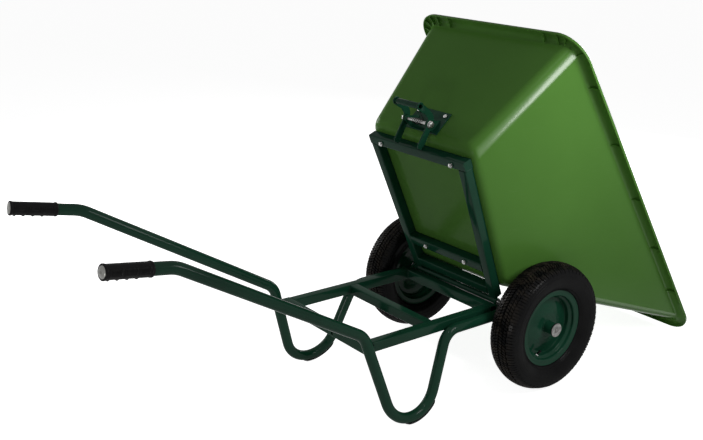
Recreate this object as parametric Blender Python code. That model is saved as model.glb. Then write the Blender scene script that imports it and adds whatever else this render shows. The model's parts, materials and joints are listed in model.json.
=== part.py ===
"""Two-wheeled tipping wheelbarrow, one object for each piece.

Metres, +Z up. +X is the barrow's right, +Y is forward, from the handles to the wheels.
The origin is on the floor under the middle of the whole barrow. Sizes and places below are
counted from the axle instead, whose middle is at y = 0 of the empty that carries every piece.
The barrow rests with its tray tipped forward, as in the photograph: pieces of the tray are
modelled level, with the tipping rod as their origin, and hang from an empty that is turned by
the tipping angle.
"""

import math

import bmesh
import bpy
from mathutils import Matrix, Vector


# %% Driving dimensions

CLEAR = 0.0003                  # gap left between pieces that touch
STEEL_GREEN = (0.012, 0.075, 0.045)
TRAY_GREEN = (0.085, 0.24, 0.055)

# Wheels
WHEEL_RADIUS = 0.200
WHEEL_OFFSET = 0.299            # wheel's middle plane from the barrow's middle
TYRE_HALF_WIDTH = 0.050
TYRE_WALL = 0.007
TREAD_FLAT_HALF = 0.018
RIM_FLANGE_RADIUS = 0.1207
RIM_FLANGE_X = 0.0262           # flange's tyre side, from the wheel's middle plane
RIM_LIP = 0.0024                # how far the flange's lip turns out
RIM_LIP_DEPTH = 0.0040          # below its edge, where the lip starts to turn
RIM_BEND = 0.0007               # extra sheet on the outside of that bend
RIM_SEAT_RADIUS = 0.1042
RIM_WELL_RADIUS = 0.0950
RIM_SHEET = 0.0022
RIM_WELL_HALF = 0.0117
RIM_SEAT_X = 0.0172             # where the bead's seat begins
RIM_DISC_X = -0.0005            # disc's outboard face where it meets the well
RIM_DISC_CONE = 0.0025          # how far the disc comes out towards the hub
# Sidewall and cavity of the tyre, as (in from the widest, below the tread)
TYRE_SIDEWALL = ((0.0045, 0.0580), (0.0, 0.0420), (0.0012, 0.0260), (0.0080, 0.0115))
TYRE_CAVITY = ((0.0065, 0.0160), (0.0, 0.0380), (0.0045, 0.0550))
BEAD_LIP_X = 0.0014             # where the tyre turns over the flange, beyond its tyre side
BEAD_LIP_RISE = 0.0005
BEAD_EDGE_RISE = 0.0008         # above the flange's edge
BEAD_TOE_RISE = 0.0004          # above the foot of the flange's lip
BEAD_TOP_RISE = 0.0020          # of the bead's inner side, above the flange's edge
BEAD_FLARE = 0.0010
# Inner tube: space left to the tyre, and its foot above the rim's seat
INNER_TUBE_GAP = 0.0022
INNER_TUBE_FOOT = 0.0040
INNER_TUBE_FOOT_IN = 0.0060
INNER_TUBE_BEAD_IN = 0.0047
INNER_TUBE_SIDE = ((0.0095, 0.0520), (0.0015, 0.0400))
INNER_TUBE_SHOULDER = (0.0115, 0.0085)
INNER_TUBE_CROWN_IN = 0.0080
INNER_TUBE_WALL = 0.0030
HUB_RADIUS = 0.0185
HUB_WALL = 0.0040
HUB_OUTER_END = 0.0430          # outboard of the wheel's middle plane
BUSH_FLANGE_RADIUS = 0.0205
BUSH_FLANGE = 0.0030
BUSH_LENGTH = 0.020
AXLE_RADIUS = 0.0080
AXLE_BEYOND_CAP = 0.0030
AXLE_CAP_RADIUS = 0.0215
AXLE_CAP_THICKNESS = 0.0025
VALVE_ANGLE = math.radians(-114.0)
VALVE_RADIUS = 0.0035
VALVE_BORE = 0.0012
VALVE_TIP_RADIUS = 0.076        # how near to the axle the valve's tip comes
VALVE_LEAN = 0.020              # how far outboard the tip leans
VALVE_FOOT_X = 0.0040
VALVE_FOOT_RISE = 0.0055        # above the rim's seat, inside the inner tube's wall
VALVE_BORE_IN = 0.0080          # how far the bore runs past the foot, into the air
VALVE_BORE_OUT = 0.0020         # and past the tip

# Round side tubes: handle, leg and wheel arm in one bend
TUBE_RADIUS = 0.0160
TUBE_WALL = 0.0018
GRIP_END = (0.2773, -1.4021, 0.6643)
HANDLE_BEND = (0.2618, -1.2184, 0.6321)
LEG_TOP_Y = -0.6415
LEG_TOP_Z = 0.2975
LEG_FOOT_X = 0.2753             # corner point below the U, before it is rounded
LEG_FOOT_Y = -0.4926
LEG_RISE_Y = -0.3359
ARM_HEIGHT = 0.2380
ARM_FRONT_Y = 0.0220
HANDLE_BEND_RADIUS = 0.110
LEG_TOP_RADIUS = 0.065
LEG_FOOT_RADIUS = 0.0938
LEG_RISE_RADIUS = 0.060

# Square tubes
BAR = 0.0300
BAR_WALL = 0.0018
BAR_CORNER = 0.0030
RAIL_OUTER_X = 0.2050
RAIL_TOP = 0.2611
CROSSBAR_REAR_Y = -0.6242       # rear face
CROSSBAR_MIDDLE_Y = -0.3844     # rear face
CROSSBAR_FRONT_Y = -0.1428      # rear face

# Axle brackets
BRACKET_HALF = 0.0165
BRACKET_LENGTH = 0.0400
BRACKET_SHEET = 0.0035
BRACKET_BOTTOM = 0.1830

# Tipping hinge
HINGE_Y = -0.0990
HINGE_RISE = 0.0020             # rod's centre above the tipping frame's underside
TIP_ANGLE = math.radians(67.3)
ROD_RADIUS = 0.0048
ROD_HOLE_CLEARANCE = 0.0004
BARREL_RADIUS = 0.0092
LUG_INNER_X = 0.1890
LUG_THICKNESS = 0.0050
LUG_RADIUS = 0.0110
LUG_BOTTOM = 0.0300             # below the rod
NUT_RADIUS = 0.0092
NUT_THICKNESS = 0.0070
ROD_BEYOND_NUT = 0.0040

# Tipping frame, in the tray's own level frame: u is rearward from the rod, w is up
FRAME_REAR_U = 0.5060
FRAME_HALF_REAR = 0.2117
FRAME_HALF_FRONT = 0.1865
FRONT_MEMBER_U = 0.0150         # front face
CROSS_MEMBER_U = 0.1035         # front face
BOLT_REAR_X = 0.1560
BOLT_REAR_IN = 0.0184           # in from the frame's rear, so that the nut comes down clear of the crossbar
BOLT_FRONT_X = 0.0885
BOLT_RADIUS = 0.0040
BOLT_HEAD_RADIUS = 0.0095
BOLT_HEAD_HEIGHT = 0.0040
BOLT_NUT_RADIUS = 0.0078
BOLT_NUT_HEIGHT = 0.0055
BOLT_BEYOND_NUT = 0.0030

# Tray
TRAY_WALL = 0.0040
FLOOR_FRONT_U = 0.0380
FLOOR_REAR_U = 0.5385
FLOOR_HALF_FRONT = 0.2100
FLOOR_HALF_REAR = 0.2290
RIM_FRONT_U = -0.5500
RIM_REAR_U = 0.7150
RIM_FRONT_W = 0.6640
RIM_REAR_W = 0.4100
RIM_HALF_FRONT = 0.3520
RIM_HALF_REAR = 0.3440
RIM_OVERHANG = 0.0370           # rim's edge beyond the walls
RIM_SKIRT = 0.0090
FLOOR_CORNER = 0.0450
WALL_CORNER = 0.0420
RIM_CORNER = 0.0880
FLOOR_FILLET = 0.0260
RIM_FILLET = 0.0180

# Latch
LATCH_PIVOT_U = 0.5755
LATCH_PIVOT_W = 0.0410
LATCH_CHEEK_X = 0.0500          # inner face
LATCH_CHEEK_THICKNESS = 0.0045
LATCH_BOLT_RADIUS = 0.0050
LATCH_BOLT_HEAD_RADIUS = 0.0095
LATCH_BOLT_HEAD_HEIGHT = 0.0060
LATCH_NUT_HEIGHT = 0.0070
LATCH_BOLT_BEYOND_NUT = 0.0050
LATCH_WASHER_RADIUS = 0.0115
LATCH_WASHER_THICKNESS = 0.0016
LATCH_BAR_U = 0.6430
LATCH_BAR_W = 0.0260
LATCH_BAR_RADIUS = 0.0090
LATCH_BAR_WALL = 0.0020
LATCH_EAR_X = 0.0440            # inner face
LATCH_EAR_THICKNESS = 0.0040
LATCH_EAR_FROM_BOTTOM = 0.0040  # ear's root on the plate, from the plate's edges
LATCH_EAR_FROM_TOP = 0.0260
LATCH_PLATE_HALF = 0.0700
LATCH_PLATE_BOTTOM = 0.0400
LATCH_PLATE_TOP = 0.1130
LATCH_PLATE_THICKNESS = 0.0030
PLATE_BOLT_RADIUS = 0.0030
PLATE_BOLT_HEAD_RADIUS = 0.0068
PLATE_BOLT_HEAD_HEIGHT = 0.0045
PLATE_BOLTS = (("upper", 0.0560, 0.1000), ("lower", 0.0300, 0.0600))    # (row, x, w)
PLATE_DRILL_OUT = 0.020
PLATE_DRILL_IN = 0.030
HOOK_SLOT_WIDTH = 0.0080
HOOK_SLOT_TOP = 0.0065          # below the crossbar's top
HOOK_SLOT_BOTTOM = 0.0240
HOOK_FACE_CLEAR = 0.0013        # hook's face behind the crossbar's rear face
HOOK_NOSE = 0.0060              # how far the hook reaches into its slot
# Points of the lever's cheek, as (u, w): its back over the pivot, then its inside by the bar
CHEEK_EYE_WALL = 0.0035
CHEEK_BACK = ((0.6190, 0.0530), (0.6000, 0.0605), (0.5860, 0.0605), (0.5730, 0.0540), (0.5625, 0.0420))
CHEEK_INSIDE = ((0.5760, 0.0275), (0.5940, 0.0390), (0.6110, 0.0355), (0.6270, 0.0230))
CHEEK_HOOK_TOP_W = -0.0005
# The hook, as (behind its face, below the slot's top)
HOOK_BELOW = ((0.0, 0.0095), (0.0040, 0.0150), (0.0120, 0.0130))
HOOK_THROAT = 0.0010
HOOK_NOSE_TOP = 0.0016
HOOK_NOSE_BOTTOM = 0.0060
SPRING_WIRE_RADIUS = 0.0011
SPRING_COIL_RADIUS = 0.0078
SPRING_HALF_LENGTH = 0.0200
SPRING_TURNS = 5
SPRING_REST_W = 0.0200          # where its leg meets the plate, above the pivot

# Grips and feet
GRIP_LENGTH = 0.1220
GRIP_RADIUS = 0.0180
GRIP_COLLAR_RADIUS = 0.0192
GRIP_COLLAR_LENGTH = 0.0060
GRIP_CAP = 0.0040
GRIP_EDGE = 0.0030              # bevel round the end cap
FOOT_STRIP_WIDTH = 0.0240
FOOT_STRIP_THICKNESS = 0.0040
FOOT_STRIP_START = math.radians(-12.0)   # from straight down, forward positive
FOOT_STRIP_END = math.radians(52.0)

# Mesh resolution
TUBE_SIDES = 12
WHEEL_SIDES = 30
ROUND_SIDES = 16
SMALL_SIDES = 10
SPRING_SIDES = 5
SPRING_TURN_STEPS = 9


# %% Places worked out from them

RAIL_INNER_X = RAIL_OUTER_X - BAR
TUBE_X = RAIL_OUTER_X + CLEAR + TUBE_RADIUS
FOOT_CLEAR = FOOT_STRIP_THICKNESS + CLEAR
HINGE_Z = RAIL_TOP + CLEAR + HINGE_RISE
FRAME_BOTTOM_W = -HINGE_RISE
FRAME_TOP_W = FRAME_BOTTOM_W + BAR
FLOOR_W = FRAME_TOP_W + CLEAR
MEMBER_FRONT_U = BARREL_RADIUS + CLEAR
MEMBER_REAR_U = FRAME_REAR_U - BAR - CLEAR
HUB_BORE = HUB_RADIUS - HUB_WALL
BRACKET_OUTER_X = TUBE_X + BRACKET_HALF
HUB_INNER_END = BRACKET_OUTER_X + CLEAR + BUSH_FLANGE + CLEAR - WHEEL_OFFSET
BARREL_HALF = LUG_INNER_X - CLEAR
LATCH_BAR_HALF = LATCH_CHEEK_X + LATCH_CHEEK_THICKNESS + CLEAR

# How far the barrow reaches forward of the axle, at the tipped tray's lip, and back, at the grips
GRIP_REACH = (Vector(HANDLE_BEND) - Vector(GRIP_END)).normalized()
GRIP_EDGE_RADIUS = GRIP_COLLAR_RADIUS - GRIP_EDGE
FRONT_Y = HINGE_Y - RIM_FRONT_U * math.cos(TIP_ANGLE) + RIM_FRONT_W * math.sin(TIP_ANGLE)
REAR_Y = GRIP_END[1] - GRIP_EDGE_RADIUS * math.sqrt(1 - GRIP_REACH.y ** 2)


def member_half(u):
    """Outer face of a side member, which splays towards the rear."""
    share = u / FRAME_REAR_U
    return FRAME_HALF_FRONT + (FRAME_HALF_REAR - FRAME_HALF_FRONT) * share


def rim_underside(u):
    """Height of the rim flange's underside; the rim falls to the rear in one plane."""
    share = (u - RIM_FRONT_U) / (RIM_REAR_U - RIM_FRONT_U)
    return RIM_FRONT_W + (RIM_REAR_W - RIM_FRONT_W) * share - TRAY_WALL


def rear_wall_u(w):
    """Outer face of the tray's rear wall at height w."""
    top_u = RIM_REAR_U - RIM_OVERHANG
    share = (w - FLOOR_W) / (rim_underside(top_u) - FLOOR_W)
    return FLOOR_REAR_U + (top_u - FLOOR_REAR_U) * share


# %% Scene and materials

for old in list(bpy.data.objects):
    bpy.data.objects.remove(old, do_unlink=True)


def empty(name, place, turn=0.0, parent=None):
    made = bpy.data.objects.new(name, None)
    bpy.context.scene.collection.objects.link(made)
    made.location = place
    made.rotation_euler = (turn, 0, 0)
    made.parent = parent
    return made


barrow = empty("barrow", (0, -(FRONT_Y + REAR_Y) / 2, 0))


def material(name, colour, roughness, metallic=0.0):
    made = bpy.data.materials.new(name)
    made.use_nodes = True
    shader = made.node_tree.nodes["Principled BSDF"]
    shader.inputs["Base Color"].default_value = (*colour, 1.0)
    shader.inputs["Roughness"].default_value = roughness
    shader.inputs["Metallic"].default_value = metallic
    return made


FRAME_PAINT = material("frame_paint", STEEL_GREEN, 0.25, 0.1)
TRAY_PLASTIC = material("tray_plastic", TRAY_GREEN, 0.42)
TYRE_RUBBER = material("tyre_rubber", (0.02, 0.02, 0.02), 0.75)
GRIP_RUBBER = material("grip_rubber", (0.03, 0.03, 0.03), 0.6)
ZINC = material("zinc_steel", (0.62, 0.62, 0.60), 0.35, 1.0)
BUSH_PLASTIC = material("bush_plastic", (0.55, 0.53, 0.48), 0.5)


# %% Mesh helpers

def finish_mesh(name, work, paint, parent=None, smooth=True):
    """Turns a closed bmesh into a named object that faces out."""
    bmesh.ops.recalc_face_normals(work, faces=work.faces)
    mesh = bpy.data.meshes.new(name)
    work.to_mesh(mesh)
    work.free()
    made = bpy.data.objects.new(name, mesh)
    bpy.context.scene.collection.objects.link(made)
    if paint is not None:
        mesh.materials.append(paint)
    if smooth:
        mesh.shade_smooth()
        mesh.set_sharp_from_angle(angle=math.radians(35))
    made.parent = parent or barrow
    return made


def bridge(work, loops, close_path):
    """Joins loops of vertices that hold the same number of points."""
    pairs = list(zip(loops, loops[1:]))
    if close_path:
        pairs.append((loops[-1], loops[0]))
    for first, second in pairs:
        count = len(first)
        for i in range(count):
            j = (i + 1) % count
            work.faces.new((first[i], first[j], second[j], second[i]))


def circle(radius, sides, phase=0.0):
    step = 2 * math.pi / sides
    return [(radius * math.cos(phase + i * step), radius * math.sin(phase + i * step))
            for i in range(sides)]


def rounded_square(size, corner):
    """A square outline with two points on each rounded corner."""
    half = size / 2
    flat = half - corner
    signs = ((1, 1), (-1, 1), (-1, -1), (1, -1))
    points = []
    for index, (a, b) in enumerate(signs):
        along = [(a * half, b * flat), (a * flat, b * half)]
        points += along if index % 2 == 0 else along[::-1]
    return points


def path_frames(path, side_hint):
    """Centre, side and up at each point, carried along the path without twist."""
    frames = []
    side = Vector(side_hint).normalized()
    for index, centre in enumerate(path):
        before = path[max(index - 1, 0)]
        after = path[min(index + 1, len(path) - 1)]
        forward = (after - before).normalized()
        side = (side - forward * side.dot(forward)).normalized()
        frames.append((centre, side, forward.cross(side)))
    return frames


def sweep(name, path, section, paint, hollow=None, side_hint=(1, 0, 0), parent=None, smooth=True):
    """A section along a path; with a hollow it is a tube, open at both ends."""
    path = [Vector(point) for point in path]
    frames = path_frames(path, side_hint)
    work = bmesh.new()

    def loops(outline):
        return [[work.verts.new(c + s * a + u * b) for a, b in outline] for c, s, u in frames]

    outer = loops(section)
    if hollow is None:
        bridge(work, outer, False)
        work.faces.new(outer[0])
        work.faces.new(outer[-1])
    else:
        bridge(work, outer + loops(hollow)[::-1], True)
    return finish_mesh(name, work, paint, parent, smooth)


def round_bar(name, start, end, radius, paint, bore=0.0, sides=ROUND_SIDES, parent=None):
    hollow = circle(bore, sides) if bore else None
    return sweep(name, [start, end], circle(radius, sides), paint, hollow, (0.3, 0.5, 0.9), parent)


def square_bar(name, start, end, paint, parent=None, side_hint=(1, 0, 0)):
    outer = rounded_square(BAR, BAR_CORNER)
    inner = rounded_square(BAR - 2 * BAR_WALL, BAR_CORNER - BAR_WALL)
    return sweep(name, [start, end], outer, paint, inner, side_hint, parent)


def turned(name, profile, paint, sides, parent=None, closed=True, side=1, phase=-math.pi / 2):
    """Turns a profile of (x, radius) about X. An open profile ends on the axis at both ends."""
    work = bmesh.new()
    step = 2 * math.pi / sides
    body = profile if closed else profile[1:-1]
    loops = []
    for i in range(sides):
        angle = phase + i * step
        loops.append([work.verts.new((side * x, r * math.cos(angle), r * math.sin(angle)))
                      for x, r in body])
    if closed:
        bridge(work, loops, True)
    else:
        ends = [work.verts.new((side * profile[0][0], 0, 0)), work.verts.new((side * profile[-1][0], 0, 0))]
        for first, second in zip(loops, loops[1:] + loops[:1]):
            for i in range(len(body) - 1):
                work.faces.new((first[i], first[i + 1], second[i + 1], second[i]))
            work.faces.new((ends[0], first[0], second[0]))
            work.faces.new((ends[1], second[-1], first[-1]))
    return finish_mesh(name, work, paint, parent)


def prism(name, outline, axis, start, end, paint, parent=None):
    """A flat outline pushed along an axis; its points are the other two coordinates in order."""
    place = {
        "x": lambda p, q, t: (t, p, q),
        "y": lambda p, q, t: (p, t, q),
    }[axis]
    work = bmesh.new()
    loops = [[work.verts.new(place(p, q, t)) for p, q in outline] for t in (start, end)]
    bridge(work, loops, False)
    work.faces.new(loops[0])
    work.faces.new(loops[1])
    return finish_mesh(name, work, paint, parent, smooth=False)


def block(name, low, high, paint=None, parent=None):
    """A plain box between two corners, for cutters and simple plates."""
    outline = [(low[1], low[2]), (high[1], low[2]), (high[1], high[2]), (low[1], high[2])]
    return prism(name, outline, "x", low[0], high[0], paint, parent)


def arc(centre, radius, start, end, count):
    """Points on an arc, angles in radians, both ends included."""
    return [(centre[0] + radius * math.cos(start + (end - start) * i / count),
             centre[1] + radius * math.sin(start + (end - start) * i / count))
            for i in range(count + 1)]


def combine(target, tool, operation):
    """Cuts a tool from a piece, or joins it on, and keeps the tool out of the part."""
    change = target.modifiers.new(operation.lower(), "BOOLEAN")
    change.operation = operation
    change.solver = "EXACT"
    change.object = tool
    tool.hide_render = True
    tool.display_type = "WIRE"


def drill(target, start, end, radius, parent=None, sides=SMALL_SIDES):
    cutter = round_bar(target.name + "_drill", start, end, radius, None, sides=sides, parent=parent)
    combine(target, cutter, "DIFFERENCE")


def rounded_path(corners, radii, steps):
    """A polyline whose inner corners are rounded to the given radii."""
    corners = [Vector(c) for c in corners]
    points = [corners[0]]
    for index in range(1, len(corners) - 1):
        corner = corners[index]
        back = (corners[index - 1] - corner).normalized()
        ahead = (corners[index + 1] - corner).normalized()
        half = back.angle(ahead) / 2
        radius = radii[index - 1]
        centre = corner + (back + ahead).normalized() * (radius / math.sin(half))
        start = corner + back * (radius / math.tan(half)) - centre
        turn = math.pi - 2 * half
        axis = start.cross(corner - centre).normalized()
        count = steps[index - 1]
        for i in range(count + 1):
            points.append(centre + Matrix.Rotation(turn * i / count, 3, axis) @ start)
    points.append(corners[-1])
    return points


# %% Chassis: side tubes, feet and grips

def leg_corners(side):
    """Corner points of a side tube. The U's corner is set so that its strip rests on the floor."""
    foot_z = LEG_FOOT_Z
    return [
        (side * GRIP_END[0], GRIP_END[1], GRIP_END[2]),
        (side * HANDLE_BEND[0], HANDLE_BEND[1], HANDLE_BEND[2]),
        (side * TUBE_X, LEG_TOP_Y, LEG_TOP_Z),
        (side * LEG_FOOT_X, LEG_FOOT_Y, foot_z),
        (side * TUBE_X, LEG_RISE_Y, ARM_HEIGHT),
        (side * TUBE_X, ARM_FRONT_Y, ARM_HEIGHT),
    ]


def lowest_of_u(foot_z):
    """Height of the lowest point of the U's centre line for a corner at foot_z."""
    corners = [Vector((TUBE_X, LEG_TOP_Y, LEG_TOP_Z)), Vector((LEG_FOOT_X, LEG_FOOT_Y, foot_z)),
               Vector((TUBE_X, LEG_RISE_Y, ARM_HEIGHT))]
    return min(point.z for point in rounded_path(corners, [LEG_FOOT_RADIUS], [48]))


def settle_foot():
    """Finds the corner height that puts the strip's underside on the floor."""
    target = TUBE_RADIUS + FOOT_CLEAR
    low, high = -0.40, 0.0
    for _ in range(40):
        middle = (low + high) / 2
        if lowest_of_u(middle) < target:
            low = middle
        else:
            high = middle
    return (low + high) / 2


LEG_FOOT_Z = settle_foot()


def u_bend(side):
    """Centre, radius directions and half sweep of the U, as (centre, down, ahead)."""
    corners = [Vector(c) for c in leg_corners(side)]
    corner = corners[3]
    back = (corners[2] - corner).normalized()
    ahead = (corners[4] - corner).normalized()
    centre = corner + (back + ahead).normalized() * (LEG_FOOT_RADIUS / math.sin(back.angle(ahead) / 2))
    normal = back.cross(ahead).normalized()
    down = Vector((0, 0, -1))
    down = (down - normal * down.dot(normal)).normalized()
    forward = Vector((0, 1, 0))
    forward = (forward - normal * forward.dot(normal) - down * forward.dot(down)).normalized()
    return centre, down, forward


def grip_direction(side):
    corners = leg_corners(side)
    return (Vector(corners[1]) - Vector(corners[0])).normalized()


def side_tube(name, side):
    path_corners = leg_corners(side)
    start = Vector(path_corners[0]) + grip_direction(side) * (GRIP_CAP + CLEAR)
    path_corners[0] = tuple(start)
    radii = [HANDLE_BEND_RADIUS, LEG_TOP_RADIUS, LEG_FOOT_RADIUS, LEG_RISE_RADIUS]
    path = rounded_path(path_corners, radii, [3, 4, 9, 4])
    outer = circle(TUBE_RADIUS, TUBE_SIDES)
    inner = circle(TUBE_RADIUS - TUBE_WALL, TUBE_SIDES)
    return sweep(name, path, outer, FRAME_PAINT, inner, (0, 0, 1))


def foot_strip(name, side):
    centre, down, forward = u_bend(side)
    count = 8
    path = []
    for i in range(count + 1):
        angle = FOOT_STRIP_START + (FOOT_STRIP_END - FOOT_STRIP_START) * i / count
        path.append(centre + (down * math.cos(angle) + forward * math.sin(angle)) * LEG_FOOT_RADIUS)
    offset = TUBE_RADIUS + CLEAR + FOOT_STRIP_THICKNESS / 2
    path = [c + u * offset for c, s, u in path_frames(path, (1, 0, 0))]
    half_width = FOOT_STRIP_WIDTH / 2
    half_depth = FOOT_STRIP_THICKNESS / 2
    section = [(-half_width, -half_depth), (half_width, -half_depth), (half_width, half_depth),
               (-half_width, half_depth)]
    return sweep(name, path, section, GRIP_RUBBER, smooth=False)


def grip(name, side):
    bore = TUBE_RADIUS + CLEAR
    profile = [
        (0.0, 0.0),
        (0.0, GRIP_EDGE_RADIUS),
        (GRIP_EDGE, GRIP_COLLAR_RADIUS),
        (GRIP_COLLAR_LENGTH, GRIP_COLLAR_RADIUS),
        (GRIP_COLLAR_LENGTH + 0.001, GRIP_RADIUS),
        (GRIP_LENGTH - GRIP_COLLAR_LENGTH - 0.001, GRIP_RADIUS),
        (GRIP_LENGTH - GRIP_COLLAR_LENGTH, GRIP_COLLAR_RADIUS),
        (GRIP_LENGTH, GRIP_COLLAR_RADIUS - 0.001),
        (GRIP_LENGTH, bore),
        (GRIP_CAP, bore),
        (GRIP_CAP, 0.0),
    ]
    made = turned(name, profile, GRIP_RUBBER, ROUND_SIDES, closed=False)
    made.location = leg_corners(side)[0]
    made.rotation_mode = "QUATERNION"
    made.rotation_quaternion = grip_direction(side).to_track_quat("X", "Z")
    return made


for word, side in (("left", -1), ("right", 1)):
    side_tube(f"side_tube_{word}", side)
    foot_strip(f"foot_strip_{word}", side)
    grip(f"grip_{word}", side)


# %% Chassis: square tubes

BAR_Z = RAIL_TOP - BAR / 2


def crossbar(name, rear_face_y, half_length):
    y = rear_face_y + BAR / 2
    return square_bar(name, (-half_length, y, BAR_Z), (half_length, y, BAR_Z), FRAME_PAINT,
                      side_hint=(0, 1, 0))


rear_crossbar = crossbar("crossbar_rear", CROSSBAR_REAR_Y, RAIL_OUTER_X)
crossbar("crossbar_middle", CROSSBAR_MIDDLE_Y, RAIL_INNER_X - CLEAR)
crossbar("crossbar_front", CROSSBAR_FRONT_Y, RAIL_OUTER_X)

for word, side in (("left", -1), ("right", 1)):
    x = side * (RAIL_OUTER_X - BAR / 2)
    square_bar(f"rail_{word}", (x, CROSSBAR_REAR_Y + BAR + CLEAR, BAR_Z),
               (x, CROSSBAR_FRONT_Y - CLEAR, BAR_Z), FRAME_PAINT)


# Slots in the rear crossbar's rear wall, for the latch hooks
hook_middle = LATCH_CHEEK_X + LATCH_CHEEK_THICKNESS / 2
for side in (-1, 1):
    low_x = side * hook_middle - HOOK_SLOT_WIDTH / 2
    slot = block(f"hook_slot_{side}",
                 (low_x, CROSSBAR_REAR_Y - BAR_WALL, RAIL_TOP - HOOK_SLOT_BOTTOM),
                 (low_x + HOOK_SLOT_WIDTH, CROSSBAR_REAR_Y + 2 * BAR_WALL, RAIL_TOP - HOOK_SLOT_TOP))
    combine(rear_crossbar, slot, "DIFFERENCE")


# %% Chassis: tipping hinge

lug_root_y = CROSSBAR_FRONT_Y + BAR + CLEAR
rod_hole = ROD_RADIUS + ROD_HOLE_CLEARANCE
lug_outer_x = LUG_INNER_X + LUG_THICKNESS
nut_outer_x = lug_outer_x + CLEAR + NUT_THICKNESS


def hinge_lug(name, side):
    top = arc((HINGE_Y, HINGE_Z), LUG_RADIUS, math.radians(150), math.radians(-30), 8)
    outline = [(lug_root_y, HINGE_Z - LUG_BOTTOM), (lug_root_y, top[0][1]), *top,
               (HINGE_Y + LUG_RADIUS / 2, HINGE_Z - LUG_BOTTOM)]
    lug = prism(name, outline, "x", side * LUG_INNER_X, side * lug_outer_x, FRAME_PAINT)
    drill(lug, (0, HINGE_Y, HINGE_Z), (side * 2 * LUG_INNER_X, HINGE_Y, HINGE_Z), rod_hole)


def hex_nut(name, start, end, radius, bore, paint, parent=None):
    return sweep(name, [start, end], circle(radius, 6), paint, circle(bore, 6), (0, 0, 1), parent, False)


for word, side in (("left", -1), ("right", 1)):
    hinge_lug(f"hinge_lug_{word}", side)
    hex_nut(f"hinge_nut_{word}", (side * (lug_outer_x + CLEAR), HINGE_Y, HINGE_Z),
            (side * nut_outer_x, HINGE_Y, HINGE_Z), NUT_RADIUS, rod_hole / math.cos(math.pi / 6), ZINC)

rod_half = nut_outer_x + ROD_BEYOND_NUT
round_bar("hinge_rod", (-rod_half, HINGE_Y, HINGE_Z), (rod_half, HINGE_Y, HINGE_Z), ROD_RADIUS, ZINC,
          sides=SMALL_SIDES)


# %% Chassis: axle, its brackets and caps

axle_z = WHEEL_RADIUS
bracket_top = ARM_HEIGHT - TUBE_RADIUS - CLEAR
cap_inner_x = WHEEL_OFFSET + HUB_OUTER_END + BUSH_FLANGE + 2 * CLEAR
axle_half = cap_inner_x + AXLE_CAP_THICKNESS + AXLE_BEYOND_CAP


def axle_bracket(name, side):
    """A channel under the wheel arm's end that holds the axle."""
    low_x, high_x = TUBE_X - BRACKET_HALF, TUBE_X + BRACKET_HALF
    web = bracket_top - BRACKET_SHEET
    outline = [(low_x, BRACKET_BOTTOM), (low_x, bracket_top), (high_x, bracket_top),
               (high_x, BRACKET_BOTTOM), (high_x - BRACKET_SHEET, BRACKET_BOTTOM),
               (high_x - BRACKET_SHEET, web), (low_x + BRACKET_SHEET, web),
               (low_x + BRACKET_SHEET, BRACKET_BOTTOM)]
    outline = [(side * x, z) for x, z in outline]
    made = prism(name, outline, "y", -BRACKET_LENGTH / 2, BRACKET_LENGTH / 2, FRAME_PAINT)
    drill(made, (0, 0, axle_z), (side * 2 * TUBE_X, 0, axle_z), AXLE_RADIUS + CLEAR, sides=ROUND_SIDES)


round_bar("axle", (-axle_half, 0, axle_z), (axle_half, 0, axle_z), AXLE_RADIUS, ZINC)

for word, side in (("left", -1), ("right", 1)):
    axle_bracket(f"axle_bracket_{word}", side)
    cap_outer_x = cap_inner_x + AXLE_CAP_THICKNESS
    cap_bore = AXLE_RADIUS + CLEAR
    ring = [(cap_inner_x, cap_bore), (cap_inner_x, AXLE_CAP_RADIUS), (cap_outer_x, AXLE_CAP_RADIUS),
            (cap_outer_x, cap_bore)]
    cap = turned(f"axle_cap_{word}", ring, ZINC, ROUND_SIDES, side=side)
    cap.location = (0, 0, axle_z)


# %% Wheels

def mirrored(profile):
    """The same points on the wheel's other side, in reverse order."""
    return [(-x, r) for x, r in profile[::-1]]


def rim_profile():
    """Closed profile of channel and disc, (outboard x, radius)."""
    hub_hole = HUB_RADIUS + CLEAR
    under_well = RIM_WELL_RADIUS - RIM_SHEET
    under_seat = RIM_SEAT_RADIUS - RIM_SHEET
    flange_out = RIM_FLANGE_X + RIM_SHEET
    lip_out = flange_out + RIM_LIP
    lip_foot = RIM_FLANGE_RADIUS - RIM_LIP_DEPTH
    channel = [
        (RIM_WELL_HALF + RIM_SHEET / 2, under_well),
        (RIM_SEAT_X + RIM_SHEET / 2, under_seat),
        (RIM_FLANGE_X, under_seat),
        (flange_out, RIM_SEAT_RADIUS),
        (flange_out, lip_foot - RIM_BEND),
        (lip_out, RIM_FLANGE_RADIUS),
        (lip_out - RIM_SHEET - RIM_BEND, RIM_FLANGE_RADIUS),
        (RIM_FLANGE_X, lip_foot),
        (RIM_FLANGE_X, RIM_SEAT_RADIUS),
        (RIM_SEAT_X, RIM_SEAT_RADIUS),
        (RIM_WELL_HALF, RIM_WELL_RADIUS),
    ]
    disc = [(RIM_DISC_X, under_well), (RIM_DISC_X + RIM_DISC_CONE, hub_hole)]
    disc_back = [(x - RIM_SHEET, r) for x, r in disc]
    return disc[::-1] + channel + mirrored(channel) + disc_back


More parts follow.
